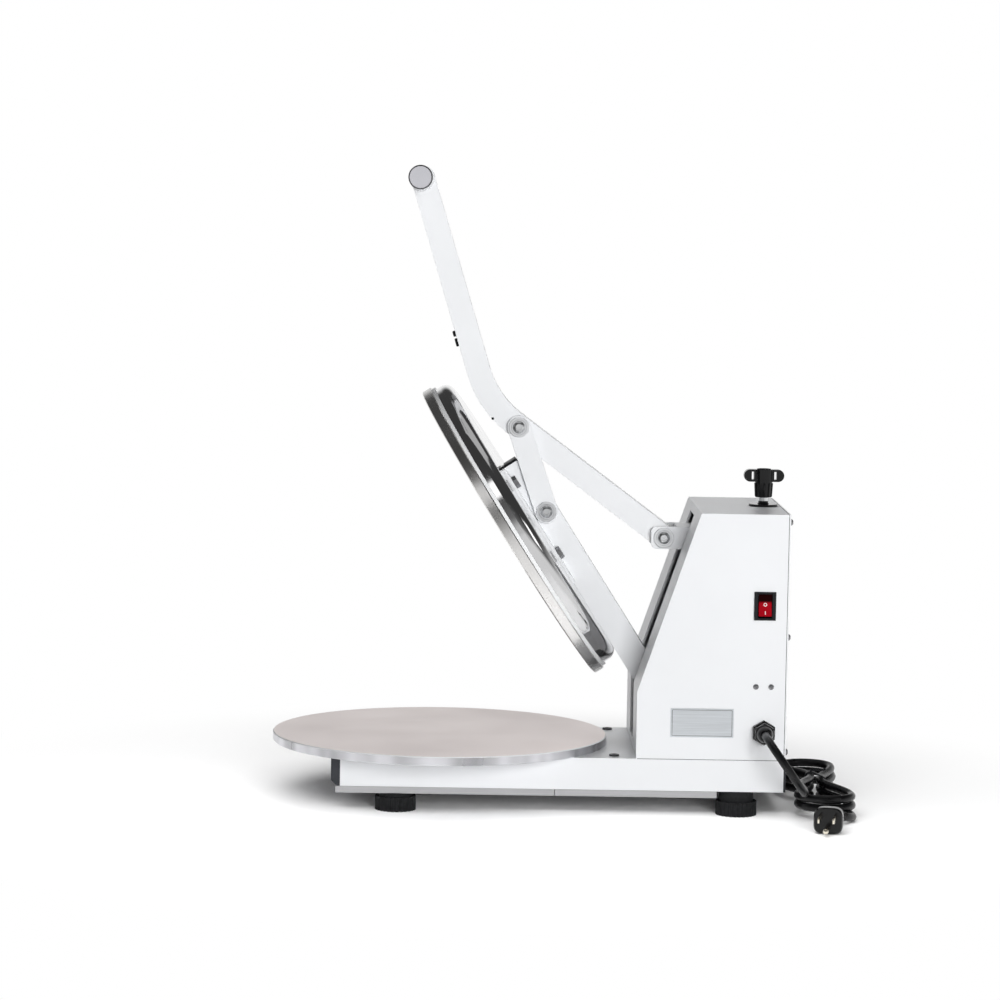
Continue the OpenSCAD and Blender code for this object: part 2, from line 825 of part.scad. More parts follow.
// Cut for the slot through the column's upright and slanted front
module column_slot() {
    z0 = z_top + slot_margin;
    z1 = z_column - slot_margin;
    deep = column_t + over;
    across(slot_w) polygon([
        [column_front - over, z0], [column_front + deep, z0], [column_front + deep, knee_z(deep)],
        [slant_x(z1, deep), z1], [slant_x(z1, -over), z1], [column_front - over, knee_z(-over)]
    ]);
}

// Round hole through the column's near side
module side_hole(x, z, d) {
    translate([x, -side_y - over, z]) rotate([-90, 0, 0]) cylinder(d = d, h = column_t + 2 * over);
}

module column_shell() {
    opening_w = base_w - 2 * rear_flange;
    color(white) on_axis() difference() {
        across(base_w) column_outline(0, z_top);
        across(base_w - 2 * column_t) column_outline(column_t, z_top - over);
        column_slot();
        translate([base_rear - column_t - over, -opening_w / 2, z_top - over])
            cube([column_t + 2 * over, opening_w, column_h - rear_flange + over]);
        cover_screws(small_screw_d + screw_fit, base_rear - column_t - over, base_rear + over);
        translate([knob_x, 0, z_column - column_t - over])
            cylinder(d = adjuster_neck_d, h = column_t + 2 * over);
        translate([switch_x - switch_body_w / 2, -side_y - over, switch_h - switch_body_h / 2])
            cube([switch_body_w, column_t + 2 * over, switch_body_h]);
        side_hole(gland_x, gland_h, gland_thread_d);
        for (s = [-1, 1])
            side_hole(terminal_x + s * terminal_pitch / 2, terminal_h0, terminal_screw_d + screw_fit);
    }
}

module rear_cover() {
    color(white) on_axis() difference() {
        translate([base_rear, -base_w / 2, z_top]) cube([rear_cover_t, base_w, column_h]);
        cover_screws(small_screw_d + screw_fit, base_rear - over, base_rear + rear_cover_t + over);
    }
}

module rear_cover_screws() {
    face = base_rear + rear_cover_t;
    color(steel) on_axis() {
        cover_screws(small_head_d, face, face + small_head_h);
        cover_screws(small_screw_d, face - small_screw_l, face + small_head_h);
    }
}

module cheek_outline() {
    front_top = slant_x(cheek_top, cheek_inset);
    polygon([
        [cheek_front, z_top], [cheek_front, knee_z(cheek_inset)], [front_top, cheek_top],
        [cheek_rear, cheek_top], [cheek_rear, z_top]
    ]);
}

module pivot_cheeks() {
    color(steel) on_axis() for (s = [-1, 1]) difference() {
        union() {
            translate([0, s * (cheek_y + cheek_t / 2), 0]) across(cheek_t) cheek_outline();
            translate([cheek_front, s * (cheek_y + cheek_t / 2 + cheek_foot_w / 2), z_top])
                translate([0, -(cheek_t + cheek_foot_w) / 2, 0])
                    cube([cheek_rear - cheek_front, cheek_t + cheek_foot_w, cheek_t]);
        }
        posts(cheek_bolt_places, bolt_d + screw_fit, z_top - over, z_top + cheek_t + over);
        translate([shaft_x, 0, shaft_h]) bar_y(shaft_d, base_w);
        translate([bracket_pin_x, 0, pivot[1]]) bar_y(bracket_pin_d, base_w);
        translate([spring_rod_x, 0, spring_rod_h]) bar_y(spring_rod_d, base_w);
    }
}

module cheek_bolts() {
    seat = z_top + cheek_t;
    color(steel) on_axis() {
        for (p = cheek_bolt_places) translate([p[0], p[1], seat]) hex(bolt_head_w, bolt_head_h);
        posts(cheek_bolt_places, bolt_d, z_top - base_t - stiffener_t, seat + bolt_head_h);
    }
}

// Width of a shaft that stands a little way out of both cheeks
shaft_w = cheek_gap + 2 * cheek_t + 2 * shaft_tail;

module arm_shaft() {
    color(steel) on_axis() translate([shaft_x, 0, shaft_h]) bar_y(shaft_d, shaft_w);
}

module bracket_pin() {
    color(steel) on_axis() translate([bracket_pin_x, 0, pivot[1]]) bar_y(bracket_pin_d, shaft_w);
}

module arm_spacers() {
    color(steel) on_axis() translate([shaft_x, 0, shaft_h])
        side_rings(shaft_d + 2 * spacer_wall, shaft_d, arm_w / 2 + 2 * side_gap, cheek_y);
}

module bracket_spacers() {
    color(steel) on_axis() translate([bracket_pin_x, 0, pivot[1]])
        side_rings(bracket_pin_d + 2 * spacer_wall, bracket_pin_d, bracket_w / 2 + side_gap, cheek_y);
}

module shaft_clips() {
    from = cheek_y + cheek_t;
    color(steel) on_axis() {
        translate([shaft_x, 0, shaft_h])
            side_rings(shaft_d + 2 * clip_wall, shaft_d, from, from + clip_t);
        translate([bracket_pin_x, 0, pivot[1]])
            side_rings(bracket_pin_d + 2 * clip_wall, bracket_pin_d, from, from + clip_t);
    }
}

module spring_rod() {
    color(steel) on_axis() translate([spring_rod_x, 0, spring_rod_h]) bar_y(spring_rod_d, shaft_w);
}

// Torsion spring: a long leg to the rear, turns round the shaft, and a leg under the arm's web
spring_angle = 360 * spring_turns - open_angle + spring_lean;
leg_angle = open_angle - spring_lean;
spring_steps = spring_turns * spring_rings;
spring_y0 = -spring_pitch * spring_turns / 2;
spring_points = [
    [spring_leg, spring_y0, spring_r],
    for (i = [0 : spring_steps])
        let (a = 90 + spring_angle * i / spring_steps)
        [spring_r * cos(a), spring_y0 * (1 - 2 * i / spring_steps), spring_r * sin(a)],
    [
        spring_r * sin(leg_angle) - spring_leg * cos(leg_angle),
        -spring_y0,
        spring_r * cos(leg_angle) + spring_leg * sin(leg_angle)
    ]
];

module return_spring() {
    color(steel) on_axis() translate([shaft_x, 0, shaft_h])
        sweep(spring_points, spring_wire, hank_sides, [0, 1, 0]);
}

// Outline of an arm wall, about the shaft with the press closed
module arm_wall_outline() {
    end_x = -shaft_x - arm_lead;
    difference() {
        union() {
            translate([end_x, back_z]) square([-end_x, arm_h]);
            translate([0, back_z + arm_end_r]) circle(r = arm_end_r);
        }
        polygon([
            [end_x - over, arm_top + over], [end_x - over, arm_top - arm_cut_h],
            [end_x, arm_top - arm_cut_h], [end_x + arm_cut_l, arm_top], [end_x + arm_cut_l, arm_top + over]
        ]);
    }
}

module platen_arm() {
    end_x = -shaft_x - arm_lead;
    web_l = shaft_x + arm_lead - arm_cut_l - web_start;
    color(white) on_arm() difference() {
        union() {
            for (s = [-1, 1])
                translate([0, s * (arm_w - arm_t) / 2, 0]) across(arm_t) arm_wall_outline();
            translate([-web_start - web_l, -arm_w / 2, arm_top - arm_t]) cube([web_l, arm_w, arm_t]);
            for (s = [-1, 1])
                translate([end_x, s * flange_bolt_y - flange_w / 2, back_z])
                    cube([arm_lead + flange_trail, flange_w, flange_t]);
        }
        bar_y(arm_bush_d, arm_w + 2 * over);
        translate([-shaft_x, 0, link_z]) bar_y(pin_bush_d, arm_w + 2 * over);
        posts(platen_bolt_places, bolt_d + screw_fit, back_z - over, back_z + flange_t + over);
    }
}

module arm_pivot_bush() {
    color(bright) on_arm() tube_y(arm_bush_d, shaft_d + run_fit, arm_w + 2 * side_gap);
}

module arm_link_bush() {
    color(bright) on_arm() translate([-shaft_x, 0, link_z])
        tube_y(pin_bush_d, pin_d + run_fit, 2 * (link_in - side_gap));
}

module platen() {
    color(bright) on_arm() difference() {
        translate([-shaft_x, 0, face_z]) bevelled_disc(platen_d, platen_t);
        posts(platen_bolt_places, bolt_d + screw_fit, platen_top - plate_thread - screw_fit, platen_top + over);
    }
}

// Half section of the cover's dome, drawn in by an inset
module cover_half(inset) {
    r = cover_d / 2 - inset;
    h = cover_back - platen_t - inset;
    c = cover_r - inset;
    square([r - c, h]);
    square([r, h - c]);
    translate([r - c, h - c]) intersection() {
        circle(r = c);
        square([c, c]);
    }
}

module platen_cover() {
    color(steel) on_arm() difference() {
        translate([-shaft_x, 0, platen_top]) rotate_extrude($fn = 180) {
            difference() {
                cover_half(0);
                translate([0, -over]) square([cover_d / 2 - cover_t, lip_h + over]);
                cover_half(cover_t);
            }
            translate([cover_d / 2 - cover_t, 0]) square([(lip_d - cover_d) / 2 + cover_t, lip_h]);
        }
        posts(platen_bolt_places, bolt_d + screw_fit, back_z - cover_t - over, back_z + over);
    }
}

module platen_standoffs() {
    color(steel) on_arm() difference() {
        posts(platen_bolt_places, standoff_d, platen_top, back_z - cover_t);
        posts(platen_bolt_places, bolt_d + screw_fit, platen_top - over, back_z + over);
    }
}

module platen_bolts() {
    seat = back_z + flange_t;
    color(steel) on_arm() {
        for (p = platen_bolt_places) translate([p[0], p[1], seat]) hex(bolt_head_w, bolt_head_h);
        posts(platen_bolt_places, bolt_d, platen_top - plate_thread, seat + bolt_head_h);
    }
}

module heating_element() {
    z = platen_top + element_d / 2 + element_gap;
    color("dimgray") on_arm() translate([-shaft_x, 0, z]) rotate([0, 0, element_open / 2]) {
        rotate_extrude(angle = 360 - element_open) translate([element_r, 0]) circle(d = element_d, $fn = 32);
        for (a = [element_post_in, 360 - element_open - element_post_in])
            rotate([0, 0, a]) translate([element_r, 0, 0])
                cylinder(d = element_post_d, h = element_post_h);
    }
}

module thermostat() {
    color("dimgray") on_arm() translate([-shaft_x, thermostat_y, platen_top])
        cylinder(d = thermostat_d, h = thermostat_h);
}

// Side outline of the bracket, with round corners at its front
module bracket_outline() {
    x0 = pivot_x - ear_reach;
    l = bracket_rear - x0;
    translate([x0 + ear_r, bracket_z]) square([l - ear_r, bracket_h]);
    translate([x0, bracket_z + ear_r]) square([l, bracket_h - 2 * ear_r]);
    for (z = [ear_r, bracket_h - ear_r]) translate([x0 + ear_r, bracket_z + z]) circle(r = ear_r);
}

module bracket() {
    web_l = bracket_rear - bracket_web_x;
    color(white) on_axis() difference() {
        union() {
            for (s = [-1, 1])
                translate([0, s * (bracket_w - bracket_t) / 2, 0]) across(bracket_t) bracket_outline();
            translate([bracket_web_x, -bracket_w / 2, bracket_z + bracket_h - bracket_t])
                cube([web_l, bracket_w, bracket_t]);
        }
        translate([pivot_x, 0, pivot[1]]) bar_y(pin_d, bracket_w + 2 * over);
        translate([bracket_pin_x, 0, pivot[1]]) bar_y(bracket_pin_d + run_fit, bracket_w + 2 * over);
        translate([knob_x, 0, bracket_z]) cylinder(d = screw_d + 2 * screw_play, h = bracket_h + over);
    }
}

module adjuster_nut() {
    color(steel) on_axis() translate([knob_x, 0, bracket_z + bracket_h - bracket_t - nut_h]) difference() {
        hex(nut_w, nut_h);
        translate([0, 0, -over]) cylinder(d = screw_d + 2 * screw_play, h = nut_h + 2 * over);
    }
}

// Pin through two outer plates, with a head on either side
module headed_pin(d, w) {
    bar_y(d, w);
    for (s = [-1, 1])
        translate([0, s * w / 2, 0]) rotate([-s * 90, 0, 0]) pin_head();
}

module lever_pin() {
    color(steel) on_axis() translate([pivot_x, 0, pivot[1]]) headed_pin(pin_d, bracket_w);
}

// Straight box of the lever or of its hollow, from X of zero
module lever_box(l, inset) {
    h = lever_h - 2 * inset;
    w = lever_w - 2 * inset;
    translate([0, -w / 2, -h / 2]) cube([l, w, h]);
}

// The whole bent bar, drawn in by an inset, along X from the pivot
module lever_bar(inset) {
    corner = lever_l + bend_at;
    h = lever_h - 2 * inset;
    w = lever_w - 2 * inset;
    bar_y(h, w);
    lever_box(corner - bend_tangent, inset);
    translate([corner - bend_tangent, 0, -bend_r]) rotate([-90, 0, 0])
        rotate([0, 0, -90]) rotate_extrude(angle = bend_angle, $fn = 180)
            translate([bend_r - h / 2, -w / 2]) square([h, w]);
    translate([corner, 0, 0]) rotate([0, bend_angle, 0]) translate([bend_tangent, 0, 0])
        lever_box(handle_at - bend_tangent + lever_end_past, inset);
}

// Puts what is drawn about the handle bar's middle in its place on the lever
module at_handle() {
    along(pivot, lever_dir) translate([lever_l + bend_at, 0, 0]) rotate([0, bend_angle, 0])
        translate([handle_at, 0, handle_off]) children();
}

module lever() {
    color(white) difference() {
        along(pivot, lever_dir) difference() {
            lever_bar(0);
            lever_bar(lever_t);
            bar_y(pin_bush_d, lever_w + 2 * over);
            translate([lever_l, 0, 0]) bar_y(pin_bush_d, lever_w + 2 * over);
        }
        at_handle() bar_y(handle_d, lever_w + 2 * over);
        // The bar breaks through the front wall, so nothing of that wall stays past it
        at_handle() translate([0, -lever_w / 2 - over, 0])
            cube([lever_end_past + over, lever_w + 2 * over, lever_h]);
        at_handle() translate([lever_end_past, 0, -handle_off - lever_h / 2]) across(lever_w + 2 * over)
            polygon([[over, -over], [-lever_cut_l, -over], [-lever_cut_l, 0], [0, lever_cut_h], [over, lever_cut_h]]);
    }
}

module lever_pivot_bush() {
    color(bright) along(pivot, lever_dir)
        tube_y(pin_bush_d, pin_d + run_fit, bracket_w - 2 * bracket_t - 2 * side_gap);
}

module lever_knuckle_bush() {
    color(bright) along(pivot, lever_dir) translate([lever_l, 0, 0])
        tube_y(pin_bush_d, pin_d + run_fit, 2 * (link_in - side_gap));
}

module handle_bar() {
    color(steel) at_handle() tube_y(handle_d, handle_d - 2 * handle_wall, handle_l - 2 * handle_cap_t);
}

module handle_caps() {
    color(bright) at_handle() for (s = [-1, 1]) scale([1, s, 1]) {
        translate([0, handle_l / 2 - handle_cap_t / 2, 0]) bar_y(handle_d, handle_cap_t);
        translate([0, handle_l / 2 - handle_cap_t - handle_cap_lip / 2, 0])
            bar_y(handle_d - 2 * handle_wall, handle_cap_lip);
    }
}

module link_plates() {
    color(white) along(link_foot, link_dir) for (s = [-1, 1])
        translate([0, s * (link_in + link_out) / 2, 0]) difference() {
            union() {
                for (x = [0, link_l]) translate([x, 0, 0]) bar_y(link_w, link_t);
                translate([0, -link_t / 2, -link_w / 2]) cube([link_l, link_t, link_w]);
            }
            for (x = [0, link_l]) translate([x, 0, 0]) bar_y(pin_d, link_t + 2 * over);
        }
}

module knuckle_pins() {
    color(steel) along(link_foot, link_dir) for (s = [-1, 1])
        translate([link_l, 0, 0]) {
            translate([0, s * (link_in + link_out) / 2, 0]) bar_y(pin_d, link_t);
            translate([0, s * link_out, 0]) rotate([-s * 90, 0, 0]) pin_head();
        }
}

module link_pin() {
    color(steel) along(link_foot, link_dir) headed_pin(pin_d, 2 * link_out);
}

module adjuster_knob() {
    z0 = z_column + knob_lift;
    wing_z = z0 + hub_h - wing_h / 2;
    end_r = wing_h / 2;
    window_x = hub_d / 2 + wing_window_gap;
    color(black) on_axis() translate([knob_x, 0, 0]) difference() {
        union() {
            translate([0, 0, z0]) cylinder(d1 = hub_d - 2 * hub_taper, d2 = hub_d, h = hub_h);
            translate([0, 0, wing_z]) for (s = [-1, 1])
                translate([s * (knob_w / 2 - end_r), 0, 0]) bar_y(wing_h, wing_t);
            translate([end_r - knob_w / 2, -wing_t / 2, z0 + hub_h - wing_h])
                cube([knob_w - wing_h, wing_t, wing_h]);
        }
        for (s = [-1, 1])
            translate([s * (window_x + wing_window_w / 2) - wing_window_w / 2, -wing_t, wing_z - wing_window_h / 2])
                cube([wing_window_w, 2 * wing_t, wing_window_h]);
        translate([0, 0, z0 - over]) cylinder(d = screw_d, h = hub_h / 2 + over);
    }
}

module adjuster_screw() {
    z0 = bracket_z + bracket_h - bracket_t - screw_tail;
    color(steel) on_axis() translate([knob_x, 0, z0])
        cylinder(d = screw_d, h = z_column + knob_lift + hub_h / 2 - z0);
}

module adjuster_bush() {
    color(black) on_axis() translate([knob_x, 0, 0]) difference() {
        union() {
            translate([0, 0, z_column]) cylinder(d = adjuster_bush_d, h = adjuster_bush_h);
            translate([0, 0, z_column - column_t]) cylinder(d = adjuster_neck_d, h = column_t);
        }
        translate([0, 0, z_column - column_t - over])
            cylinder(d = screw_d + run_fit, h = column_t + adjuster_bush_h + 2 * over);
    }
}

// Puts what is drawn about the switch's middle, with Z out of the near side, in its place
module on_switch() {
    on_axis() translate([switch_x, -side_y, switch_h]) rotate([90, 0, 0]) children();
}

module switch_body() {
    well_w = rocker_w + 2 * rocker_gap;
    well_h = rocker_h + 4 * rocker_gap;
    color(black) on_switch() difference() {
        union() {
            translate([-bezel_w / 2, -bezel_h / 2, 0]) cube([bezel_w, bezel_h, bezel_t]);
            translate([-switch_body_w / 2, -switch_body_h / 2, -switch_body_l])
                cube([switch_body_w, switch_body_h, switch_body_l]);
        }
        translate([-well_w / 2, -well_h / 2, bezel_t - rocker_well])
            cube([well_w, well_h, rocker_well + over]);
    }
}

// Rocker with a hollow face, tilted so that its upper half is pressed in
module rocker() {
    half = rocker_h / 2;
    rise = half * tan(rocker_tilt);
    color("red") on_switch() translate([0, 0, bezel_t - rocker_axis_y]) rotate([-rocker_tilt, 0, 0])
        rotate([0, -90, 0]) linear_extrude(rocker_w, center = true) {
            polygon([
                [rocker_axis_y - rocker_t, -half], [rocker_axis_y + rise, -half], [rocker_axis_y, 0],
                [rocker_axis_y + rise, half], [rocker_axis_y - rocker_t, half]
            ]);
            circle(d = rocker_root_d);
        }
}

module terminal_block() {
    color("ivory") on_axis() difference() {
        translate([terminal_x - terminal_l / 2, -side_y + column_t, terminal_h0 - terminal_h / 2])
            cube([terminal_l, terminal_w, terminal_h]);
        for (s = [-1, 1])
            translate([terminal_x + s * terminal_pitch / 2, -side_y, terminal_h0])
                rotate([-90, 0, 0])
                    cylinder(d = terminal_screw_d + screw_fit, h = column_t + terminal_w + over);
    }
}

module terminal_screws() {
    color(steel) on_axis() for (s = [-1, 1])
        translate([terminal_x + s * terminal_pitch / 2, -side_y - terminal_head_h, terminal_h0])
            rotate([-90, 0, 0]) {
                cylinder(d = terminal_head_d, h = terminal_head_h);
                cylinder(d = terminal_screw_d, h = terminal_head_h + column_t + terminal_w / 2);
            }
}

module rating_plate() {
    color(bright) on_axis()
        translate([label_x - label_w / 2, -side_y - label_t, z_top + label_z - label_h / 2])
            cube([label_w, label_t, label_h]);
}

module cable_gland() {
    color(black) on_axis() translate([gland_x, -side_y, gland_h]) rotate([90, 0, 0]) {
        hex(gland_w, gland_base_t);
        translate([0, 0, gland_base_t]) hex(gland_nut_w, gland_nut_t);
        translate([0, 0, gland_base_t + gland_nut_t])
            cylinder(d1 = gland_nose_d, d2 = gland_tip_d, h = gland_nose_l);
        translate([0, 0, -column_t - locknut_t])
            cylinder(d = gland_thread_d, h = column_t + locknut_t);
    }
}

module gland_locknut() {
    color(black) on_axis() translate([gland_x, -side_y + column_t, gland_h]) rotate([-90, 0, 0])
        difference() {
            hex(gland_w, locknut_t);
            translate([0, 0, -over]) cylinder(d = gland_thread_d, h = locknut_t + 2 * over);
        }
}

module cord_lead() {
    color(black) on_axis() sweep(lead_points, cord_d, cord_sides, lead_up);
}

module cord_hank() {
    color(black) on_axis() sweep(hank_points, cord_d, hank_sides, [0, 0, 1]);
}

module cord_tail() {
    color(black) on_axis() sweep(tail_points, cord_d, cord_sides, [0, 0, 1]);
}

// Band round the hank's waist
module hank_tie() {
    w = 2 * (hank_r + hank_swell) * (1 - hank_waist_share) + cord_d + 2 * tie_gap;
    h = (hank_loops - 0.5) * hank_step + cord_d + 2 * tie_gap;
    z0 = hank_step / 2 - tie_gap;
    color(black) on_axis() translate([hank_x, hank_y, z0 + h / 2]) rotate([0, 0, hank_turn]) difference() {
        cube([w + 2 * tie_t, tie_w, h + 2 * tie_t], center = true);
        cube([w, tie_w + 2 * over, h], center = true);
    }
}

// Puts what is drawn along X from the plug's tail in its place on the table
module on_plug() {
    end = tail_points[len(tail_points) - 1];
    on_axis() translate(end) rotate([0, 0, -90 - plug_turn]) children();
}

module plug_body() {
    color(black) on_plug() hull() {
        rotate([0, 90, 0]) cylinder(d = plug_nose_d, h = plug_l, $fn = 32);
        for (y = [-1, 1], z = [-1, 1])
            translate([plug_l / 2, y * (plug_w / 2 - plug_r), z * (plug_h / 2 - plug_r)])
                rotate([0, 90, 0]) cylinder(r = plug_r, h = plug_l / 2, $fn = 32);
    }
}

module plug_pins() {
    color(steel) on_plug() translate([plug_l, 0, 0]) {
        for (s = [-1, 1])
            translate([0, s * blade_pitch / 2 - blade_t / 2, earth_drop - blade_w])
                cube([blade_l, blade_t, blade_w]);
        translate([0, 0, -earth_drop]) rotate([0, 90, 0]) cylinder(d = earth_d, h = earth_l);
    }
}

base_shell();
front_end_cap();
rear_end_cap();
bottom_tray_front();
bottom_tray_rear();
feet();
foot_screws();
foot_nuts();
lower_plate();
lower_plate_screws();
stiffener_plate();
base_top_screws();
column_shell();
rear_cover();
rear_cover_screws();
pivot_cheeks();
cheek_bolts();
arm_shaft();
arm_spacers();
bracket_pin();
bracket_spacers();
shaft_clips();
spring_rod();
return_spring();
platen_arm();
arm_pivot_bush();
arm_link_bush();
platen();
platen_cover();
platen_standoffs();
platen_bolts();
heating_element();
thermostat();
bracket();
adjuster_nut();
lever_pin();
lever();
lever_pivot_bush();
lever_knuckle_bush();
handle_bar();
handle_caps();
link_plates();
knuckle_pins();
link_pin();
adjuster_knob();
adjuster_screw();
adjuster_bush();
switch_body();
rocker();
terminal_block();
terminal_screws();
rating_plate();
cable_gland();
gland_locknut();
cord_lead();
cord_hank();
cord_tail();
hank_tie();
plug_body();
plug_pins();
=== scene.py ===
"""Looks for a manual pizza dough press: camera, mains cord, materials, finer pieces, light.

Lengths are in metres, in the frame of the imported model: X to the rear, Y away from the switch side, Z up.
"""

import json
import math

import bmesh
import bpy
from mathutils import Matrix, Vector

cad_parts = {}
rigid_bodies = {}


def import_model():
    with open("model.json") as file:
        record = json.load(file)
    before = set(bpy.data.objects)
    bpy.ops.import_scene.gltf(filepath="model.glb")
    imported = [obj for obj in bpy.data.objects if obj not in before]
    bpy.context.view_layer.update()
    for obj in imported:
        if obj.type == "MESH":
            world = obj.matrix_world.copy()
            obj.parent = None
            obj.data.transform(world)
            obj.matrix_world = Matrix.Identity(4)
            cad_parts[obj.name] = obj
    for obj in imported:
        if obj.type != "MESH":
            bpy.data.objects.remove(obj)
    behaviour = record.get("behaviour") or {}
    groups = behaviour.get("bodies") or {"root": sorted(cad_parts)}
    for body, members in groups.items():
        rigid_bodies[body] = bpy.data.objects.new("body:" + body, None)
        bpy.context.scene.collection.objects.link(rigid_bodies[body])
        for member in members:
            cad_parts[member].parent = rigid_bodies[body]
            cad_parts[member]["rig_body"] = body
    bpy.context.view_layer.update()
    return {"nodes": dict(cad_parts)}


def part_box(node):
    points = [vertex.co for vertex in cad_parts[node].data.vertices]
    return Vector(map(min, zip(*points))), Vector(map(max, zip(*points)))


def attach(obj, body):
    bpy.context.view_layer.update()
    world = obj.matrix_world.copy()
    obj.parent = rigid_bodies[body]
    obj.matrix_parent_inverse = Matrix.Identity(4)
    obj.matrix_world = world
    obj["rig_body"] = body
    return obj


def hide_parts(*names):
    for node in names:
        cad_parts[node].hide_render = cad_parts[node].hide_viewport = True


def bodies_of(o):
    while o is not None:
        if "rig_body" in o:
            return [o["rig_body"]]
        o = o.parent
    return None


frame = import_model()
nodes = frame["nodes"]

MM = 0.001
SIDES = (-1, 1)


def box_centre(node):
    low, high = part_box(node)
    return (low + high) / 2


def new_object(name, data):
    """A new object in the scene."""
    obj = bpy.data.objects.new(name, data)
    bpy.context.scene.collection.objects.link(obj)
    return obj


# Places taken from the frame
PLATE_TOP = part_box("lower_plate")[1].z
AXIS_X = box_centre("lower_plate").x
SHAFT = box_centre("arm_shaft")
PIVOT = box_centre("lever_pin")
KNUCKLE = box_centre("knuckle_pins")
LINK_FOOT = box_centre("link_pin")
HANDLE = box_centre("handle_bar")
SWITCH = box_centre("switch_body")
COLUMN_LOW, COLUMN_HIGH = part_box("column_shell")
# Angles of the solids: the open arm, and the bend of the lever
OPEN_ANGLE = math.radians(57.25)
BEND_ANGLE = math.radians(36.5)


# Camera: fitted to the photograph, with its small roll
CAMERA_PLACE = Vector((-0.05335, -2.99713, 0.51173))
CAMERA_YAW = 0.0087
CAMERA_PITCH = 0.0813
CAMERA_ROLL = 0.0170
IMAGE_PX = 1000
FOCAL_PX = 3355
SENSOR = 36.0
CLIP_END = 50


def make_camera():
    data = bpy.data.cameras.new("camera")
    data.sensor_width = SENSOR
    data.lens = FOCAL_PX / IMAGE_PX * SENSOR
    data.clip_end = CLIP_END
    camera = new_object("camera", data)
    ahead = Vector((
        math.sin(CAMERA_YAW) * math.cos(CAMERA_PITCH),
        math.cos(CAMERA_YAW) * math.cos(CAMERA_PITCH),
        -math.sin(CAMERA_PITCH),
    ))
    level = ahead.cross(Vector((0, 0, 1))).normalized()
    upright = level.cross(ahead)
    right = level * math.cos(CAMERA_ROLL) + upright * math.sin(CAMERA_ROLL)
    up = upright * math.cos(CAMERA_ROLL) - level * math.sin(CAMERA_ROLL)
    turn = Matrix((right, up, -ahead)).transposed().to_4x4()
    camera.matrix_world = Matrix.Translation(CAMERA_PLACE) @ turn
    bpy.context.scene.camera = camera


make_camera()


# Materials: noise keeps to a middle range, which is stretched to the range asked for
NOISE_LOW, NOISE_HIGH = 0.3, 0.7


class Shader:
    """A Principled material with its node tree, and the few textures that the materials share."""

    def __init__(self, name, color, rough, metal=0.0, specular=0.5):
        self.material = bpy.data.materials.new(name)
        self.material.use_nodes = True
        self.tree = self.material.node_tree
        self.bsdf = self.tree.nodes["Principled BSDF"]
        self.color = color
        self.set("Base Color", (*color, 1))
        self.set("Roughness", rough)
        self.set("Metallic", metal)
        self.set("Specular IOR Level", specular)
        self.material.diffuse_color = (*color, 1)

    def set(self, socket, value):
        self.bsdf.inputs[socket].default_value = value

    def node(self, kind, **inputs):
        made = self.tree.nodes.new(kind)
        for key, value in inputs.items():
            made.inputs[key].default_value = value
        return made

    def link(self, source, target):
        self.tree.links.new(source, target)

    def place(self, scale=(1, 1, 1), origin=(0, 0, 0), turn=(0, 0, 0)):
        """Coordinates of the part's frame, moved to an origin, turned and scaled."""
        coords = self.node("ShaderNodeTexCoord")
        move = self.node("ShaderNodeMapping", Location=origin, Rotation=turn)
        move.vector_type = "TEXTURE"
        self.link(coords.outputs["Object"], move.inputs["Vector"])
        size = self.node("ShaderNodeMapping", Scale=scale)
        self.link(move.outputs["Vector"], size.inputs["Vector"])
        return size.outputs["Vector"]

    def noise(self, vector, scale, detail=3.0, rough=0.55):
        made = self.node("ShaderNodeTexNoise", Scale=scale, Detail=detail, Roughness=rough)
        self.link(vector, made.inputs["Vector"])
        return made.outputs["Fac"]

    def spread(self, value, low, high, of=(NOISE_LOW, NOISE_HIGH), kind="LINEAR"):
        """A value, mapped from the range that it is of to low and high."""
        made = self.node("ShaderNodeMapRange")
        made.interpolation_type = kind
        made.inputs["From Min"].default_value, made.inputs["From Max"].default_value = of
        made.inputs["To Min"].default_value, made.inputs["To Max"].default_value = low, high
        self.link(value, made.inputs["Value"])
        return made.outputs["Result"]

    def tint(self, value, dark, light, at=(NOISE_LOW, NOISE_HIGH)):
        """Base colour between two shades of the material's colour, at two levels of a value."""
        ramp = self.node("ShaderNodeValToRGB")
        low, high = ramp.color_ramp.elements
        low.position, high.position = at
        low.color = (*[c * dark for c in self.color], 1)
        high.color = (*[min(c * light, 1) for c in self.color], 1)
        self.link(value, ramp.inputs["Fac"])
        self.link(ramp.outputs["Color"], self.bsdf.inputs["Base Color"])

    def rough(self, value, low, high):
        self.link(self.spread(value, low, high), self.bsdf.inputs["Roughness"])

    def bump(self, value, strength, height):
        made = self.node("ShaderNodeBump", Strength=strength, Distance=height)
        self.link(value, made.inputs["Height"])
        self.link(made.outputs["Normal"], self.bsdf.inputs["Normal"])


def feed(tree, socket, value):
    """Gives a socket a number, or another socket's value."""
    if isinstance(value, float):
        socket.default_value = value
    else:
        tree.links.new(value, socket)


def math_node(tree, operation, *values):
    """The result of an operation on numbers and sockets."""
    made = tree.nodes.new("ShaderNodeMath")
    made.operation = operation
    for socket, value in zip(made.inputs, values):
        feed(tree, socket, value)
    return made.outputs["Value"]


def powder_coat(name, color):
    """Smooth baked paint with a faint orange peel."""
    s = Shader(name, color, 0.4)
    s.tint(s.noise(s.place(), scale=9), dark=0.975, light=1.01)
    s.rough(s.noise(s.place(), scale=40), low=0.32, high=0.4)
    s.bump(s.noise(s.place(), scale=700, detail=2), strength=0.05, height=0.1 * MM)
    return s.material


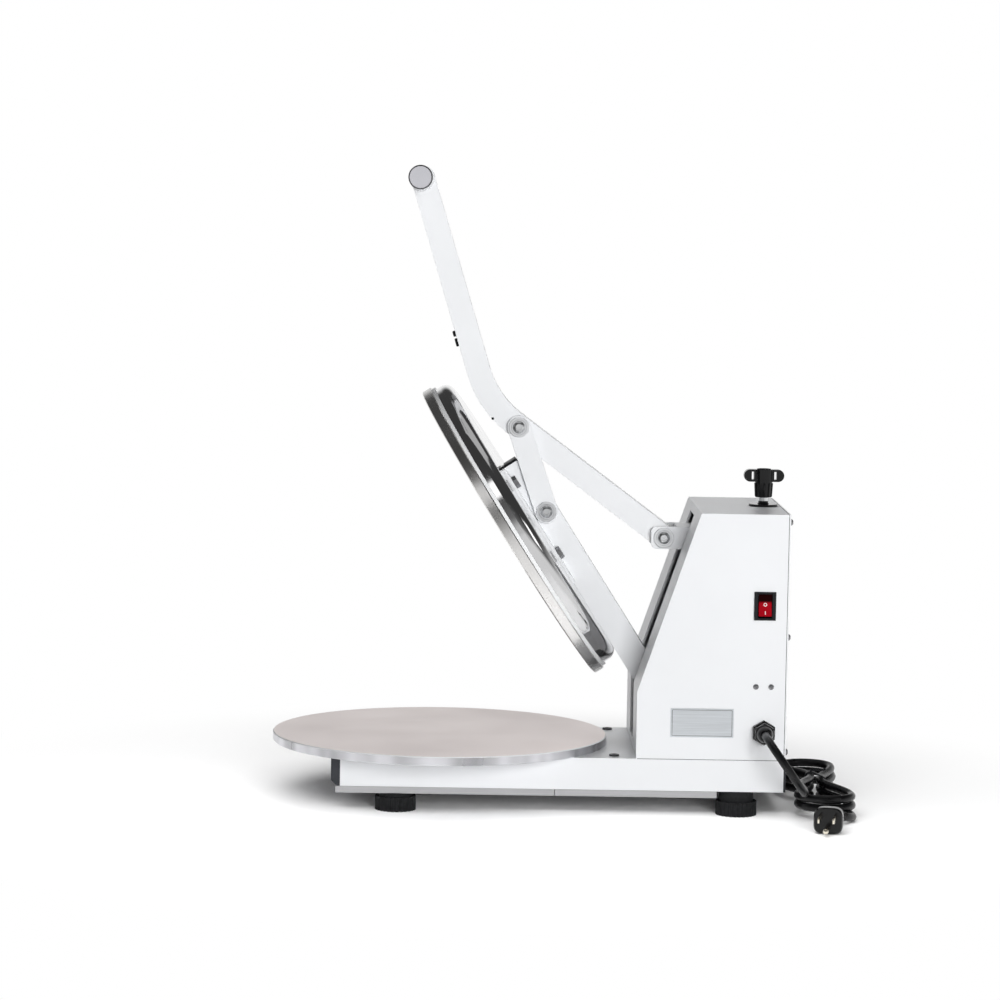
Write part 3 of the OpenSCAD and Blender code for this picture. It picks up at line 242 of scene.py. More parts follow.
def brushed_metal(name, color, grain, rough=(0.26, 0.4)):
    """Metal with fine straight lines; grain holds a small scale along the lines."""
    s = Shader(name, color, 0.3, metal=1.0)
    lines = s.noise(s.place(scale=grain), scale=1, detail=4, rough=0.7)
    s.tint(lines, dark=0.88, light=1.06)
    s.rough(lines, *rough)
    s.bump(lines, strength=0.15, height=0.08 * MM)
    return s.material


def turned_metal(name, color, origin, turn, rough, pitch, contrast):
    """Metal turned on a lathe about the Z axis of a place, with a faint cloud over the rings."""
    ring_share = 0.25
    s = Shader(name, color, rough[0], metal=1.0)
    wave = s.node("ShaderNodeTexWave", Scale=pitch, Distortion=0.6, Detail=2.0)
    wave.wave_type = "RINGS"
    wave.rings_direction = "Z"
    s.link(s.place(origin=origin, turn=turn), wave.inputs["Vector"])
    cloud = s.noise(s.place(), scale=14, detail=4)
    shade = math_node(s.tree, "MULTIPLY_ADD", wave.outputs["Fac"], ring_share, cloud)
    s.tint(shade, dark=1 - contrast, light=1 + contrast)
    s.rough(cloud, *rough)
    s.bump(cloud, strength=0.015, height=0.2 * MM)
    return s.material


def rim_with_painted_reflections(name, color, origin, rough):
    """The turned edge of a plate, with painted reflections: bright and dull by turns in broad soft bands
    round it.
    """
    s = Shader(name, color, rough[0], metal=1.0)
    painted_streaks = s.noise(s.place(scale=(1, 1, 0), origin=origin), scale=22, detail=2)
    s.tint(painted_streaks, dark=0.5, light=1.4)
    s.rough(painted_streaks, *rough)
    s.bump(s.noise(s.place(scale=(2, 2, 900)), scale=1, detail=2), strength=0.1, height=0.05 * MM)
    return s.material


def polished_metal(name, color, rough):
    """Bright metal with faint smears."""
    s = Shader(name, color, rough[0], metal=1.0)
    smear = s.noise(s.place(scale=(1, 1.6, 1)), scale=22, detail=5)
    s.tint(smear, dark=0.95, light=1.03)
    s.rough(smear, *rough)
    return s.material


def rubber(name, color):
    s = Shader(name, color, 0.75, specular=0.3)
    s.tint(s.noise(s.place(), scale=60), dark=0.8, light=1.25)
    s.rough(s.noise(s.place(), scale=300), low=0.62, high=0.85)
    s.bump(s.noise(s.place(), scale=1500), strength=0.25, height=0.1 * MM)
    return s.material


def moulded(name, color, rough, grain, specular):
    """Moulded plastic with a fine surface grain."""
    s = Shader(name, color, rough[0], specular=specular)
    s.tint(s.noise(s.place(), scale=50), dark=0.9, light=1.12)
    s.rough(s.noise(s.place(), scale=120), *rough)
    s.bump(s.noise(s.place(), scale=1800, detail=2), strength=grain, height=0.08 * MM)
    return s.material


def lens_with_painted_shade(name, color, middle, fade):
    """Tinted clear plastic with painted shade, dark above a height over its middle, in the bezel's well."""
    s = Shader(name, color, 0.24, specular=0.03)
    split = s.node("ShaderNodeSeparateXYZ")
    s.link(s.place(origin=(0, 0, middle)), split.inputs["Vector"])
    s.tint(s.spread(split.outputs["Z"], 1, 0, of=fade), dark=0.03, light=1, at=(0, 1))
    s.rough(s.noise(s.place(), scale=200), low=0.2, high=0.3)
    s.bump(s.noise(s.place(), scale=900), strength=0.05, height=0.05 * MM)
    return s.material


def cord_vinyl(name, color):
    s = Shader(name, color, 0.3, specular=0.3)
    s.tint(s.noise(s.place(), scale=70), dark=0.85, light=1.2)
    s.rough(s.noise(s.place(), scale=160), low=0.24, high=0.4)
    s.bump(s.noise(s.place(), scale=500, detail=3), strength=0.1, height=0.1 * MM)
    return s.material


# Axes that the turned pieces were turned on, and the scale of the rings
PLATE_CENTRE = (AXIS_X, 0, PLATE_TOP)
PLATEN_TURN = (0, OPEN_ANGLE, 0)
PLATEN_CENTRE = tuple(box_centre("platen"))
FACE_TURN = (math.pi / 2, 0, 0)
PLATE_RINGS, CAP_RINGS = 160, 900
# Heights over the switch's middle between which the painted shade on the lens grows dark
PAINTED_SHADE_RISE = (2.5 * MM, 4.5 * MM)

white = powder_coat("white_paint", (0.85, 0.862, 0.88))
# A bright white on metal edges: painted highlight on the plate's chamfer and the cover's lip
painted_edge_highlight = powder_coat("painted_edge_highlight", (0.86, 0.87, 0.88))
plate_top = turned_metal("plate_alloy", (0.97, 0.87, 0.845), PLATE_CENTRE, (0, 0, 0),
                         rough=(0.3, 0.34), pitch=PLATE_RINGS, contrast=0.02)
platen_alloy = turned_metal("platen_alloy", (0.74, 0.73, 0.72), PLATEN_CENTRE, PLATEN_TURN,
                            rough=(0.22, 0.36), pitch=PLATE_RINGS, contrast=0.06)
cap_steel = turned_metal("cap_steel", (0.84, 0.84, 0.89), tuple(HANDLE), FACE_TURN,
                         rough=(0.3, 0.42), pitch=CAP_RINGS, contrast=0.1)
# The plate's rim has painted reflections: its colour runs bright and dull in bands round it.
plate_rim = rim_with_painted_reflections("plate_rim", (0.6, 0.6, 0.625), PLATE_CENTRE, rough=(0.24, 0.4))
tray_steel = brushed_metal("tray_steel", (0.46, 0.46, 0.47), grain=(8, 600, 600))
bar_steel = brushed_metal("bar_steel", (0.62, 0.62, 0.64), grain=(900, 12, 900), rough=(0.2, 0.32))
label_metal = brushed_metal("label_metal", (0.72, 0.75, 0.78), grain=(20, 900, 900), rough=(0.42, 0.52))
cover_steel = polished_metal("cover_steel", (0.6, 0.6, 0.605), rough=(0.06, 0.14))
zinc = polished_metal("zinc_steel", (0.74, 0.75, 0.76), rough=(0.24, 0.4))
pin_steel = polished_metal("pin_steel", (0.86, 0.87, 0.885), rough=(0.26, 0.4))
bolt_steel = polished_metal("bolt_steel", (0.3, 0.3, 0.31), rough=(0.28, 0.44))
dark_steel = polished_metal("dark_steel", (0.1, 0.1, 0.105), rough=(0.28, 0.44))
brass = polished_metal("bearing_brass", (0.62, 0.45, 0.2), rough=(0.25, 0.4))
blade_metal = polished_metal("blade_metal", (0.74, 0.69, 0.58), rough=(0.16, 0.3))
heater = polished_metal("heater_steel", (0.22, 0.22, 0.23), rough=(0.4, 0.6))
foot_rubber = rubber("foot_rubber", (0.012, 0.0125, 0.0135))
cap_plastic = moulded("cap_plastic", (0.008, 0.0085, 0.01), rough=(0.34, 0.46), grain=0.15, specular=0.25)
end_plastic = moulded("end_plastic", (0.03, 0.0315, 0.037), rough=(0.4, 0.55), grain=0.2, specular=0.35)
gloss_black = moulded("gloss_black", (0.003, 0.003, 0.0033), rough=(0.12, 0.2), grain=0.03, specular=0.28)
ivory = moulded("ivory", (0.72, 0.68, 0.55), rough=(0.4, 0.55), grain=0.1, specular=0.4)
mark_white = moulded("mark_white", (0.85, 0.8, 0.8), rough=(0.4, 0.5), grain=0.02, specular=0.3)
vinyl = cord_vinyl("cord_vinyl", (0.0035, 0.0035, 0.004))
# The rocker's lens gets painted shade over its pressed upper half.
red = lens_with_painted_shade("rocker_red", (0.35, 0.004, 0.011), SWITCH.z, PAINTED_SHADE_RISE)


# Mains cord: the same route as the solids, on one smooth line
CORD_D = 7.2 * MM
LEAD_ROUTE = [
    (283.7, -113, 75), (283.7, -120, 75), (285, -131.3, 73.2), (288.7, -140.9, 68), (294.3, -147.3, 60.2),
    (300.9, -149.5, 51), (307.4, -147.3, 41.8), (313, -140.9, 34), (316.7, -131.3, 28.8), (318, -120, 27),
    (318.3, -109, 27),
]
TAIL_R = 30 * MM
TAIL_SWEEP = math.radians(52)
TAIL_STEPS = 8
PLUG_TURN = math.radians(12)
PLUG_H = 23 * MM
HANK_LOOPS = 3
HANK_RUN = 110 * MM
HANK_R = 21.8 * MM
HANK_SWELL = 2.5 * MM
HANK_STEP = 7.8 * MM
HANK_WAIST_SHARE = 0.8
HANK_RUN_SHARE = 0.31
HANK_X = AXIS_X + 336 * MM
HANK_Y = -31 * MM
HANK_TURN = math.radians(3.5)
HANK_END = HANK_LOOPS - 0.5 + HANK_RUN_SHARE
RINGS_PER_LOOP = 60
LEAD_RINGS, TAIL_RINGS = 5, 4
# Steps round a quarter of a tube, for the cord and for thin ones
ROUND, THIN = 6, 3


def at_axis(x, y, z):
    """A place in millimetres, measured along X from the press axis."""
    return Vector((AXIS_X + x * MM, y * MM, z * MM))


def hank_radius(t):
    """Half of the hank's width, which swells towards its middle turn."""
    return HANK_R + HANK_SWELL * (1 - abs(2 * t / HANK_END - 1))


def waist(y):
    """Share of the width that is left where the tie draws the runs in."""
    return 1 - HANK_WAIST_SHARE * math.cos(math.pi * y / HANK_RUN) ** 2


def hank_flat(t):
    """A point of the hank seen from above, at a phase counted in loops."""
    u = t - math.floor(t)
    r, a, h = hank_radius(t), HANK_RUN_SHARE, HANK_RUN / 2
    if u < a:
        y = -h + HANK_RUN * u / a
        return -r * waist(y), y
    if u < 0.5:
        q = math.pi * (u - a) / (0.5 - a)
        return -r * math.cos(q), h + r * math.sin(q)
    if u <= 0.5 + a:
        y = h - HANK_RUN * (u - 0.5) / a
        return r * waist(y), y
    q = math.pi * (u - 0.5 - a) / (0.5 - a)
    return r * math.cos(q), -h - r * math.sin(q)


def hank_height(t):
    u = t - math.floor(t)
    drop = min(max((u - 0.5) / HANK_RUN_SHARE, 0), 1)
    return CORD_D / 2 + HANK_STEP * (HANK_LOOPS - math.floor(t) - drop)


def hank_point(t, ahead=0.0):
    x, y = hank_flat(t)
    y -= ahead
    c, s = math.cos(HANK_TURN), math.sin(HANK_TURN)
    return Vector((HANK_X + x * c - y * s, HANK_Y + x * s + y * c, hank_height(t)))


def arc_step(start, end):
    return TAIL_R * Vector((math.cos(end) - math.cos(start), math.sin(start) - math.sin(end), 0))


def tail_route():
    """From the hank to the plug: an arc to one side, then one back, rising to the plug's height."""
    out = hank_point(HANK_END, 2 * CORD_D)
    mid = out + arc_step(-HANK_TURN, TAIL_SWEEP)
    shares = [(i + 1) / TAIL_STEPS for i in range(TAIL_STEPS)]

    def rise(k):
        return Vector((0, 0, (PLUG_H / 2 - out.z) * k * k * (3 - 2 * k)))

    def aside(k):
        return out + arc_step(-HANK_TURN, TAIL_SWEEP * k - HANK_TURN * (1 - k)) + rise(k / 2)

    def back(k):
        return mid - arc_step(TAIL_SWEEP, TAIL_SWEEP * (1 - k) + PLUG_TURN * k) + rise((1 + k) / 2)

    return [*[aside(k) for k in shares], *[back(k) for k in shares]]


def smooth(points, per_span):
    """Points on a Catmull-Rom line through the points."""
    ends = [points[0] * 2 - points[1], *points, points[-1] * 2 - points[-2]]
    made = []
    for a, b, c, d in zip(ends, ends[1:], ends[2:], ends[3:]):
        for i in range(per_span):
            t = i / per_span
            square, cube = a * 2 - b * 5 + c * 4 - d, b * 3 - a - c * 3 + d
            made.append((b * 2 + (c - a) * t + square * t ** 2 + cube * t ** 3) / 2)
    return [*made, points[-1]]


def cord_line():
    steps = round(HANK_END * RINGS_PER_LOOP)
    hank = [hank_point(HANK_END * i / steps) for i in range(steps + 1)]
    lead = [at_axis(*p) for p in LEAD_ROUTE] + [hank_point(0, 2 * CORD_D), hank_point(0, CORD_D), hank[0]]
    tail = [hank[-1], hank_point(HANK_END, CORD_D), hank_point(HANK_END, 2 * CORD_D), *tail_route()]
    return [*smooth(lead, LEAD_RINGS), *hank[1:-1], *smooth(tail, TAIL_RINGS)]


def line_length(points):
    return sum((b - a).length for a, b in zip(points, points[1:]))


def tube_curve(name, points, diameter, material, resolution=ROUND):
    """A round tube along points."""
    data = bpy.data.curves.new(name, "CURVE")
    data.dimensions = "3D"
    data.bevel_depth = diameter / 2
    data.bevel_resolution = resolution
    data.use_fill_caps = True
    spline = data.splines.new("POLY")
    spline.points.add(len(points) - 1)
    for p, co in zip(spline.points, points):
        p.co = (*co, 1)
    spline.use_smooth = True
    data.materials.append(material)
    return new_object(name, data)


CORD_LINE = cord_line()
mains_cord = tube_curve("mains_cord", CORD_LINE, CORD_D, vinyl)
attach(mains_cord, "frame")
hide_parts("cord_lead", "cord_hank", "cord_tail")


# Finer pieces: small solids in mesh code, drawn about an origin and put in their places

def circle_angles(steps):
    """Angles round a circle, of which the last closes it."""
    return [2 * math.pi * i / steps for i in range(steps + 1)]


def mm(points):
    """Points given in millimetres."""
    return [tuple(v * MM for v in p) for p in points]


def skin(bm, rings):
    """Faces between rings of one count of points, and flat ends."""
    n = len(rings[0])
    for a, b in zip(rings, rings[1:]):
        for i in range(n):
            k = (i + 1) % n
            bm.faces.new((a[i], a[k], b[k], b[i]))
    bm.faces.new(rings[0][::-1])
    bm.faces.new(rings[-1])


def lathe(profile, segments=48, flats=0.0):
    """Turned solid about Z through (radius, height) points; flats cuts it to a hexagon of that width."""
    bm = bmesh.new()
    rings = []
    sixth = math.pi / 3
    for radius, height in profile:
        circle = []
        for a in circle_angles(segments)[:-1]:
            r = radius
            if flats:
                r = min(r, flats / 2 / math.cos((a + sixth / 2) % sixth - sixth / 2))
            circle.append(bm.verts.new((r * math.cos(a), r * math.sin(a), height)))
        rings.append(circle)
    skin(bm, rings)
    return bm


def dome(radius, height, base, steps=6, tip=0.02):
    """Profile of a dome of a radius and height, from a base up to a small flat tip."""
    turns = [math.pi / 2 * i / steps for i in range(steps)]
    curve = [(radius * math.cos(a), base + height * math.sin(a)) for a in turns]
    return [*curve, (radius * tip, base + height)]


def slab(size, rounding, segments=2):
    """Block about the origin with rounded edges."""
    bm = bmesh.new()
    bmesh.ops.create_cube(bm, size=1.0, matrix=Matrix.Diagonal((*size, 1)))
    bmesh.ops.bevel(bm, geom=bm.edges[:], offset=rounding, segments=segments, affect="EDGES", profile=0.5)
    return bm


def loft(sections):
    """Closed skin over rings of points of one count, with flat ends."""
    bm = bmesh.new()
    skin(bm, [[bm.verts.new(p) for p in section] for section in sections])
    bmesh.ops.recalc_face_normals(bm, faces=bm.faces[:])
    return bm


def ring(profile, steps):
    """Closed ring about Z with a section of (radius, height) points."""
    return loft([[(r * math.cos(a), r * math.sin(a), z) for r, z in profile] for a in circle_angles(steps)])


def joined(parts):
    """One solid of several, each given with its place."""
    whole = bmesh.new()
    for bm, place in parts:
        bm.transform(place)
        mesh = bpy.data.meshes.new("part")
        bm.to_mesh(mesh)
        whole.from_mesh(mesh)
        bpy.data.meshes.remove(mesh)
    return whole


def carved(solid, cutter):
    """A solid with another cut out of it."""
    pair = []
    for bm in (solid, cutter):
        bmesh.ops.recalc_face_normals(bm, faces=bm.faces[:])
        mesh = bpy.data.meshes.new("carving")
        bm.to_mesh(mesh)
        pair.append(new_object("carving", mesh))
    cut = pair[0].modifiers.new("cut", "BOOLEAN")
    cut.object = pair[1]
    cut.solver = "EXACT"
    made = bmesh.new()
    made.from_object(pair[0], bpy.context.evaluated_depsgraph_get())
    for obj in pair:
        mesh = obj.data
        bpy.data.objects.remove(obj)
        bpy.data.meshes.remove(mesh)
    return made


def piece(name, bm, material, body, place=Matrix.Identity(4), crease=35):
    """A mesh object that rides on a body, shaded smooth up to an angle."""
    bm.transform(place)
    mesh = bpy.data.meshes.new(name)
    bm.to_mesh(mesh)
    mesh.materials.append(material)
    mesh.shade_smooth()
    mesh.set_sharp_from_angle(angle=math.radians(crease))
    obj = new_object(name, mesh)
    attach(obj, body)
    return obj


def shift(x, y, z):
    return Matrix.Translation((x, y, z))


def pointing(place, direction):
    """Place whose Z axis points in a direction."""
    turn = Vector(direction).to_track_quat("Z", "Y").to_matrix().to_4x4()
    return Matrix.Translation(place) @ turn


def body_of(node):
    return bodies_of(nodes[node])[0]


# Screws: a pan head with a cross recess, or a flat head with a hexagon socket, in shares of their size
PAN_FOOT, PAN_WALL = 0.96, 0.2
RECESS_L, RECESS_W, RECESS_EDGE, RECESS_Z = 0.56, 0.15, 0.02, 1.15
FLAT_EDGE, FLAT_SOCKET = 0.3, 0.3


def pan_screw(d, h, shank_d, shank_l):
    shank = [(shank_d / 2, -shank_l), (shank_d / 2, 0)]
    head = lathe([*shank, (d / 2 * PAN_FOOT, 0), *dome(d / 2, h, h * PAN_WALL)])
    for turn in (0, math.pi / 2):
        bar = slab((d * RECESS_L, d * RECESS_W, h), d * RECESS_EDGE)
        bar.transform(shift(0, 0, h * RECESS_Z) @ Matrix.Rotation(turn, 4, "Z"))
        head = carved(head, bar)
    return head


def socket_screw(d, h, shank_d, shank_l, socket):
    edge = h * FLAT_EDGE
    profile = [(shank_d / 2, -shank_l), (shank_d / 2, 0), (d / 2, 0), (d / 2, h - edge), (d / 2 - edge, h)]
    cutter = lathe([(socket, h * FLAT_SOCKET), (socket, 2 * h)], flats=socket)
    return carved(lathe(profile), cutter)


def screws(name, node, material, make_screw, places, direction):
    """Screws at places, which stand for a node."""
    parts = [(make_screw(), pointing(p, direction)) for p in places]
    obj = piece(name, joined(parts), material, body_of(node))
    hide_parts(node)


# Places in millimetres from the press axis
COLUMN_SIDE = -92
TERMINAL_X, TERMINAL_Z, TERMINAL_PITCH = 282.7, 115, 13.3
COVER_X, COVER_Y, COVER_HEIGHTS = 303.5, 85, (57, 158, 259)
BASE_X, BASE_Y, BASE_Z = 154, 78, 50


def terminal_screw():
    return pan_screw(d=5 * MM, h=1.8 * MM, shank_d=3.5 * MM, shank_l=9 * MM)


def cover_screw():
    return pan_screw(d=5.8 * MM, h=2.2 * MM, shank_d=4 * MM, shank_l=6 * MM)


def base_screw():
    return socket_screw(d=9 * MM, h=1.6 * MM, shank_d=6 * MM, shank_l=6 * MM, socket=4 * MM)


screws("terminal_heads", "terminal_screws", bolt_steel, terminal_screw,
       [at_axis(TERMINAL_X + s * TERMINAL_PITCH / 2, COLUMN_SIDE, TERMINAL_Z) for s in SIDES], (0, -1, 0))
screws("cover_heads", "rear_cover_screws", bolt_steel, cover_screw,
       [at_axis(COVER_X, s * COVER_Y, z) for s in SIDES for z in COVER_HEIGHTS], (1, 0, 0))
screws("base_heads", "base_top_screws", dark_steel, base_screw,
       [at_axis(BASE_X, s * BASE_Y, BASE_Z) for s in SIDES], (0, 0, 1))


# Pins of lever and links: a dished washer and a button head with a hexagon socket
WASHER_R, WASHER_T = 9 * MM, 1.5 * MM
BUTTON_R, BUTTON_H = 5.5 * MM, 3.2 * MM
SOCKET_W, SOCKET_DEEP = 4.5 * MM, 1.9 * MM
WASHER_EDGE = 0.35 * MM
BUTTON_SINK = 0.2 * MM
PIN_R, PIN_PAST = 5 * MM, 0.3 * MM


def pin_washer():
    edge = WASHER_EDGE
    inner = WASHER_R * 0.72
    return lathe([
        (WASHER_R - edge, 0), (WASHER_R, edge), (WASHER_R, WASHER_T - edge), (WASHER_R - edge, WASHER_T),
        (inner + edge, WASHER_T), (inner, WASHER_T - edge), (BUTTON_R * 0.8, WASHER_T - edge),
    ])


def pin_button():
    base = WASHER_T - BUTTON_SINK
    top = BUTTON_H * 0.86
    body = lathe([
        (BUTTON_R * 0.96, base), (BUTTON_R, base + 0.4 * MM), (BUTTON_R * 0.98, base + BUTTON_H * 0.4),
        (BUTTON_R * 0.84, base + BUTTON_H * 0.74), (BUTTON_R * 0.62, base + top + 0.2 * MM),
        (BUTTON_R * 0.56, base + BUTTON_H),
    ])
    floor_z, above_z = base + BUTTON_H - SOCKET_DEEP, base + 2 * BUTTON_H
    return carved(body, lathe([(SOCKET_W, floor_z), (SOCKET_W, above_z)], flats=SOCKET_W))


def pin(node, centre, reach, hollow=0.0):
    """A pin across the press with a head on either side at a reach from the middle plane."""
    ends = [pointing(centre + Vector((0, s * reach, 0)), (0, s, 0)) for s in SIDES]
    body = body_of(node)
    piece(node + "_washers", joined([(pin_washer(), e) for e in ends]), pin_steel, body)
    heads = [(pin_button(), e) for e in ends]
    rods = [(lathe([(PIN_R, hollow - reach), (PIN_R, PIN_PAST)]), e) for e in ends]
    obj = piece(node + "_heads", joined(heads + rods), zinc, body)
    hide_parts(node)


LINK_IN, LINK_OUT = 18 * MM, 22 * MM
BRACKET_OUT = 24 * MM
pin("lever_pin", PIVOT, BRACKET_OUT)
pin("link_pin", LINK_FOOT, LINK_OUT)
pin("knuckle_pins", KNUCKLE, LINK_OUT, LINK_IN)


# Adjuster: ribs round the knob's hub, a disc in its top, and a collar on the bush
KNOB = box_centre("adjuster_knob")
KNOB_FOOT, KNOB_TOP = (v.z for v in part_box("adjuster_knob"))
HUB_R, HUB_TAPER = 8.5 * MM, 1.5 * MM
RIBS = 10
RIB_DEEP, RIB_W, RIB_L = 1.5 * MM, 1.8 * MM, 12.5 * MM
RIB_EDGE, RIB_OUT, RIB_UP = 0.55 * MM, 0.1 * MM, 0.4 * MM
DISC_SHARE = 0.74


def knob_ribs():
    lean = Matrix.Rotation(math.atan(HUB_TAPER / (KNOB_TOP - KNOB_FOOT)), 4, "Y")
    out, up = shift(HUB_R - HUB_TAPER + RIB_OUT, 0, 0), shift(0, 0, RIB_L / 2 + RIB_UP)
    parts = []
    for i in range(RIBS):
        turn = Matrix.Rotation(2 * math.pi * (i + 0.5) / RIBS, 4, "Z")
        parts.append((slab((RIB_DEEP, RIB_W, RIB_L), RIB_EDGE), turn @ out @ lean @ up))
    return joined(parts)


def knob_disc():
    """A thin disc with a rounded rim and a shallow hollow."""
    r = HUB_R * DISC_SHARE
    rim, hollow = 0.4 * MM, 0.2 * MM
    top = rim + hollow
    edge = [(r, -rim), (r, rim), (r - 0.3 * MM, top)]
    return lathe([*edge, (r * 0.7, top), (r * 0.6, hollow), (r * 0.1, hollow)])


def adjuster_collar():
    return lathe(mm([(5.2, 0), (5, 0.5), (4.6, 0.9), (4.4, 2.4), (4.1, 2.7)]))


BUSH_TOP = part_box("adjuster_bush")[1].z
piece("knob_ribs", knob_ribs(), gloss_black, "knob", shift(KNOB.x, KNOB.y, KNOB_FOOT))
piece("knob_disc", knob_disc(), cap_plastic, "knob", shift(KNOB.x, KNOB.y, KNOB_TOP))
piece("adjuster_collar", adjuster_collar(), gloss_black, "frame",
      shift(KNOB.x, KNOB.y, BUSH_TOP))


# Rocker: a hollow face on a tilted axis, with a ring and a bar for off and on
ROCKER_W, ROCKER_H = 11.4 * MM, 19 * MM
ROCKER_AXIS = 3.5 * MM
ROCKER_TILT = math.radians(10)
BEZEL_T = 2 * MM
ON_SWITCH = (
    Matrix.Translation((SWITCH.x, COLUMN_LOW.y, SWITCH.z)) @ Matrix.Rotation(math.pi / 2, 4, "X")
    @ shift(0, 0, BEZEL_T - ROCKER_AXIS) @ Matrix.Rotation(-ROCKER_TILT, 4, "X")
)
ROCKER_STEPS, ROCKER_EDGE = 24, 0.6 * MM
RING_AT, RING_R, RING_HOLE_R, RING_H, RING_STEPS = 0.8 * MM, 1.6 * MM, 1.0 * MM, 0.12 * MM, 40
BAR_AT, BAR_SIZE, BAR_EDGE, BAR_LEAN = -6.4 * MM, (0.75 * MM, 3.2 * MM, 0.24 * MM), 0.08 * MM, -0.24


def rocker_face(y):
    """Height of the hollow face at a place along the rocker."""
    return ROCKER_AXIS + ROCKER_H / 2 * math.tan(ROCKER_TILT) * (2 * y / ROCKER_H) ** 2


def rocker_body():
    tops = [ROCKER_H * (i / ROCKER_STEPS - 0.5) for i in range(ROCKER_STEPS + 1)]

    def section(x, inset):
        lifted = [(x, y * (1 - 2 * inset / ROCKER_H), rocker_face(y) - inset) for y in tops]
        return [*lifted, (x, ROCKER_H / 2 - inset, 0), (x, inset - ROCKER_H / 2, 0)]

    half, edge = ROCKER_W / 2, ROCKER_EDGE
    return loft([section(-half, edge), section(-half + edge / 3, edge / 3), section(-half + edge, 0),
                 section(half - edge, 0), section(half - edge / 3, edge / 3), section(half, edge)])


def rocker_ring():
    h = RING_H
    return ring([(RING_HOLE_R, -h), (RING_R, -h), (RING_R, h), (RING_HOLE_R, h)], RING_STEPS)


rocker_lens = piece("rocker_lens", rocker_body(), red, "rocker", ON_SWITCH)
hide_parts("rocker")
piece("rocker_ring", rocker_ring(), mark_white, "rocker",
      ON_SWITCH @ shift(0, RING_AT, rocker_face(RING_AT)))
piece("rocker_bar", slab(BAR_SIZE, BAR_EDGE), mark_white, "rocker",
      ON_SWITCH @ shift(0, BAR_AT, rocker_face(BAR_AT)) @ Matrix.Rotation(BAR_LEAN, 4, "X"))


# Cable gland: a chamfered hexagon, a hexagon dome nut and a nose that tapers to the cord
GLAND_X, GLAND_Z = 283.7, 75
GLAND_W, NUT_W = 19 * MM, 17 * MM
HEX_SEGMENTS = 72


def cable_gland():
    base = lathe(mm([(9, 0), (10.9, 0.9), (10.9, 5.1), (9, 6)]), HEX_SEGMENTS, GLAND_W)
    neck = lathe(mm([(8, 5.5), (8, 7)]))
    nut = lathe(mm([(8.2, 6.6), (9.7, 7.4), (9.7, 11.4), (8.4, 13)]), HEX_SEGMENTS, NUT_W)
    nose = lathe(mm([
        (7.6, 12.4), (7.5, 14), (7.1, 16), (6.5, 18), (5.7, 20), (4.9, 21), (3.7, 21), (3.65, 19),
    ]))
    thread = lathe(mm([(5.4, -7), (6, -6.4), (6, 0.5)]))
    return joined([(bm, Matrix.Identity(4)) for bm in (base, neck, nut, nose, thread)])


gland = piece("gland_nut", cable_gland(), gloss_black, "frame",
              pointing(at_axis(GLAND_X, COLUMN_SIDE, GLAND_Z), (0, -1, 0)))
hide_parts("cable_gland")


# Plug: a moulded body with finger grips, a ribbed strain relief on the cord, two blades and an earth pin
PLUG_L, PLUG_W = 32 * MM, 25 * MM
PLUG_NOSE = 5.5 * MM
PLUG_STEPS, OUTLINE_STEPS = 64, 48
# Shares of the plug's length between which it widens, and between which the grips lie
GROW_FROM, GROW_TO = 0.05, 0.72
GRIP_FROM, GRIP_TO, GRIP_RUN = 0.22, 0.67, 0.45
GRIPS, GRIP_H = 5, 0.35 * MM
FRONT_L, FRONT_SHARE = 2 * MM, 0.07
SQUARENESS = 1.6
BLADE_SIZE, BLADE_EDGE, BLADE_TIP, BLADE_TAPER = (16 * MM, 1.6 * MM, 6.3 * MM), 0.3 * MM, 7.5 * MM, 0.72
BLADE_OUT, BLADE_Y, BLADE_Z = 7.5 * MM, 6.35 * MM, 2.85 * MM
EARTH_R, EARTH_L, EARTH_Z, EARTH_IN = 2.4 * MM, 15.6 * MM, -6 * MM, 1 * MM
RELIEF_L, RELIEF_PITCH, RELIEF_RINGS = 24 * MM, 4.4 * MM, 6
RELIEF_TAPER, NOTCH_DEEP, NOTCH_LEVEL, NOTCH_FROM, NOTCH_TO = 0.25, 0.1, 0.35, 0.12, 0.95
ON_PLUG = Matrix.Translation(CORD_LINE[-1]) @ Matrix.Rotation(-math.pi / 2 - PLUG_TURN, 4, "Z")


def ease(a, b, x):
    """From 0 at a to 1 at b, with soft ends."""
    t = min(max((x - a) / (b - a), 0), 1)
    return t * t * (3 - 2 * t)


def grip_height(share):
    if not GRIP_FROM < share < GRIP_TO:
        return 0
    return GRIP_H * math.sin(2 * math.pi * GRIPS * (share - GRIP_FROM) / GRIP_RUN)


def plug_section(x):
    """Rounded outline of the plug at a distance from its tail."""
    grow = ease(GROW_FROM * PLUG_L, GROW_TO * PLUG_L, x)
    front = 1 - FRONT_SHARE * ease(PLUG_L - FRONT_L, PLUG_L, x)
    half_w = (PLUG_NOSE + (PLUG_W / 2 - PLUG_NOSE) * grow) * front + grip_height(x / PLUG_L)
    half_h = (PLUG_NOSE + (PLUG_H / 2 - PLUG_NOSE) * grow) * front
    power = 2 / (2 + SQUARENESS * grow)

    def squared(v):
        return math.copysign(abs(v) ** power, v)

    turns = circle_angles(OUTLINE_STEPS)[:-1]
    return [(x, squared(math.cos(a)) * half_w, squared(math.sin(a)) * half_h) for a in turns]


def plug_blade():
    bm = slab(BLADE_SIZE, BLADE_EDGE)
    for v in bm.verts:
        if v.co.x > BLADE_TIP:
            v.co.z *= BLADE_TAPER
    return bm


def earth_pin():
    return lathe([(EARTH_R, -EARTH_IN), (EARTH_R, EARTH_L), *dome(EARTH_R, EARTH_R, EARTH_L)])


def relief_radius(run):
    """Radius of the sleeve, as a share of its widest, at a distance from the plug."""
    share = run / RELIEF_L
    notched = math.sin(2 * math.pi * run / RELIEF_PITCH) > NOTCH_LEVEL and NOTCH_FROM < share < NOTCH_TO
    return 1 - RELIEF_TAPER * min(share, 1) - (NOTCH_DEEP if notched else 0)


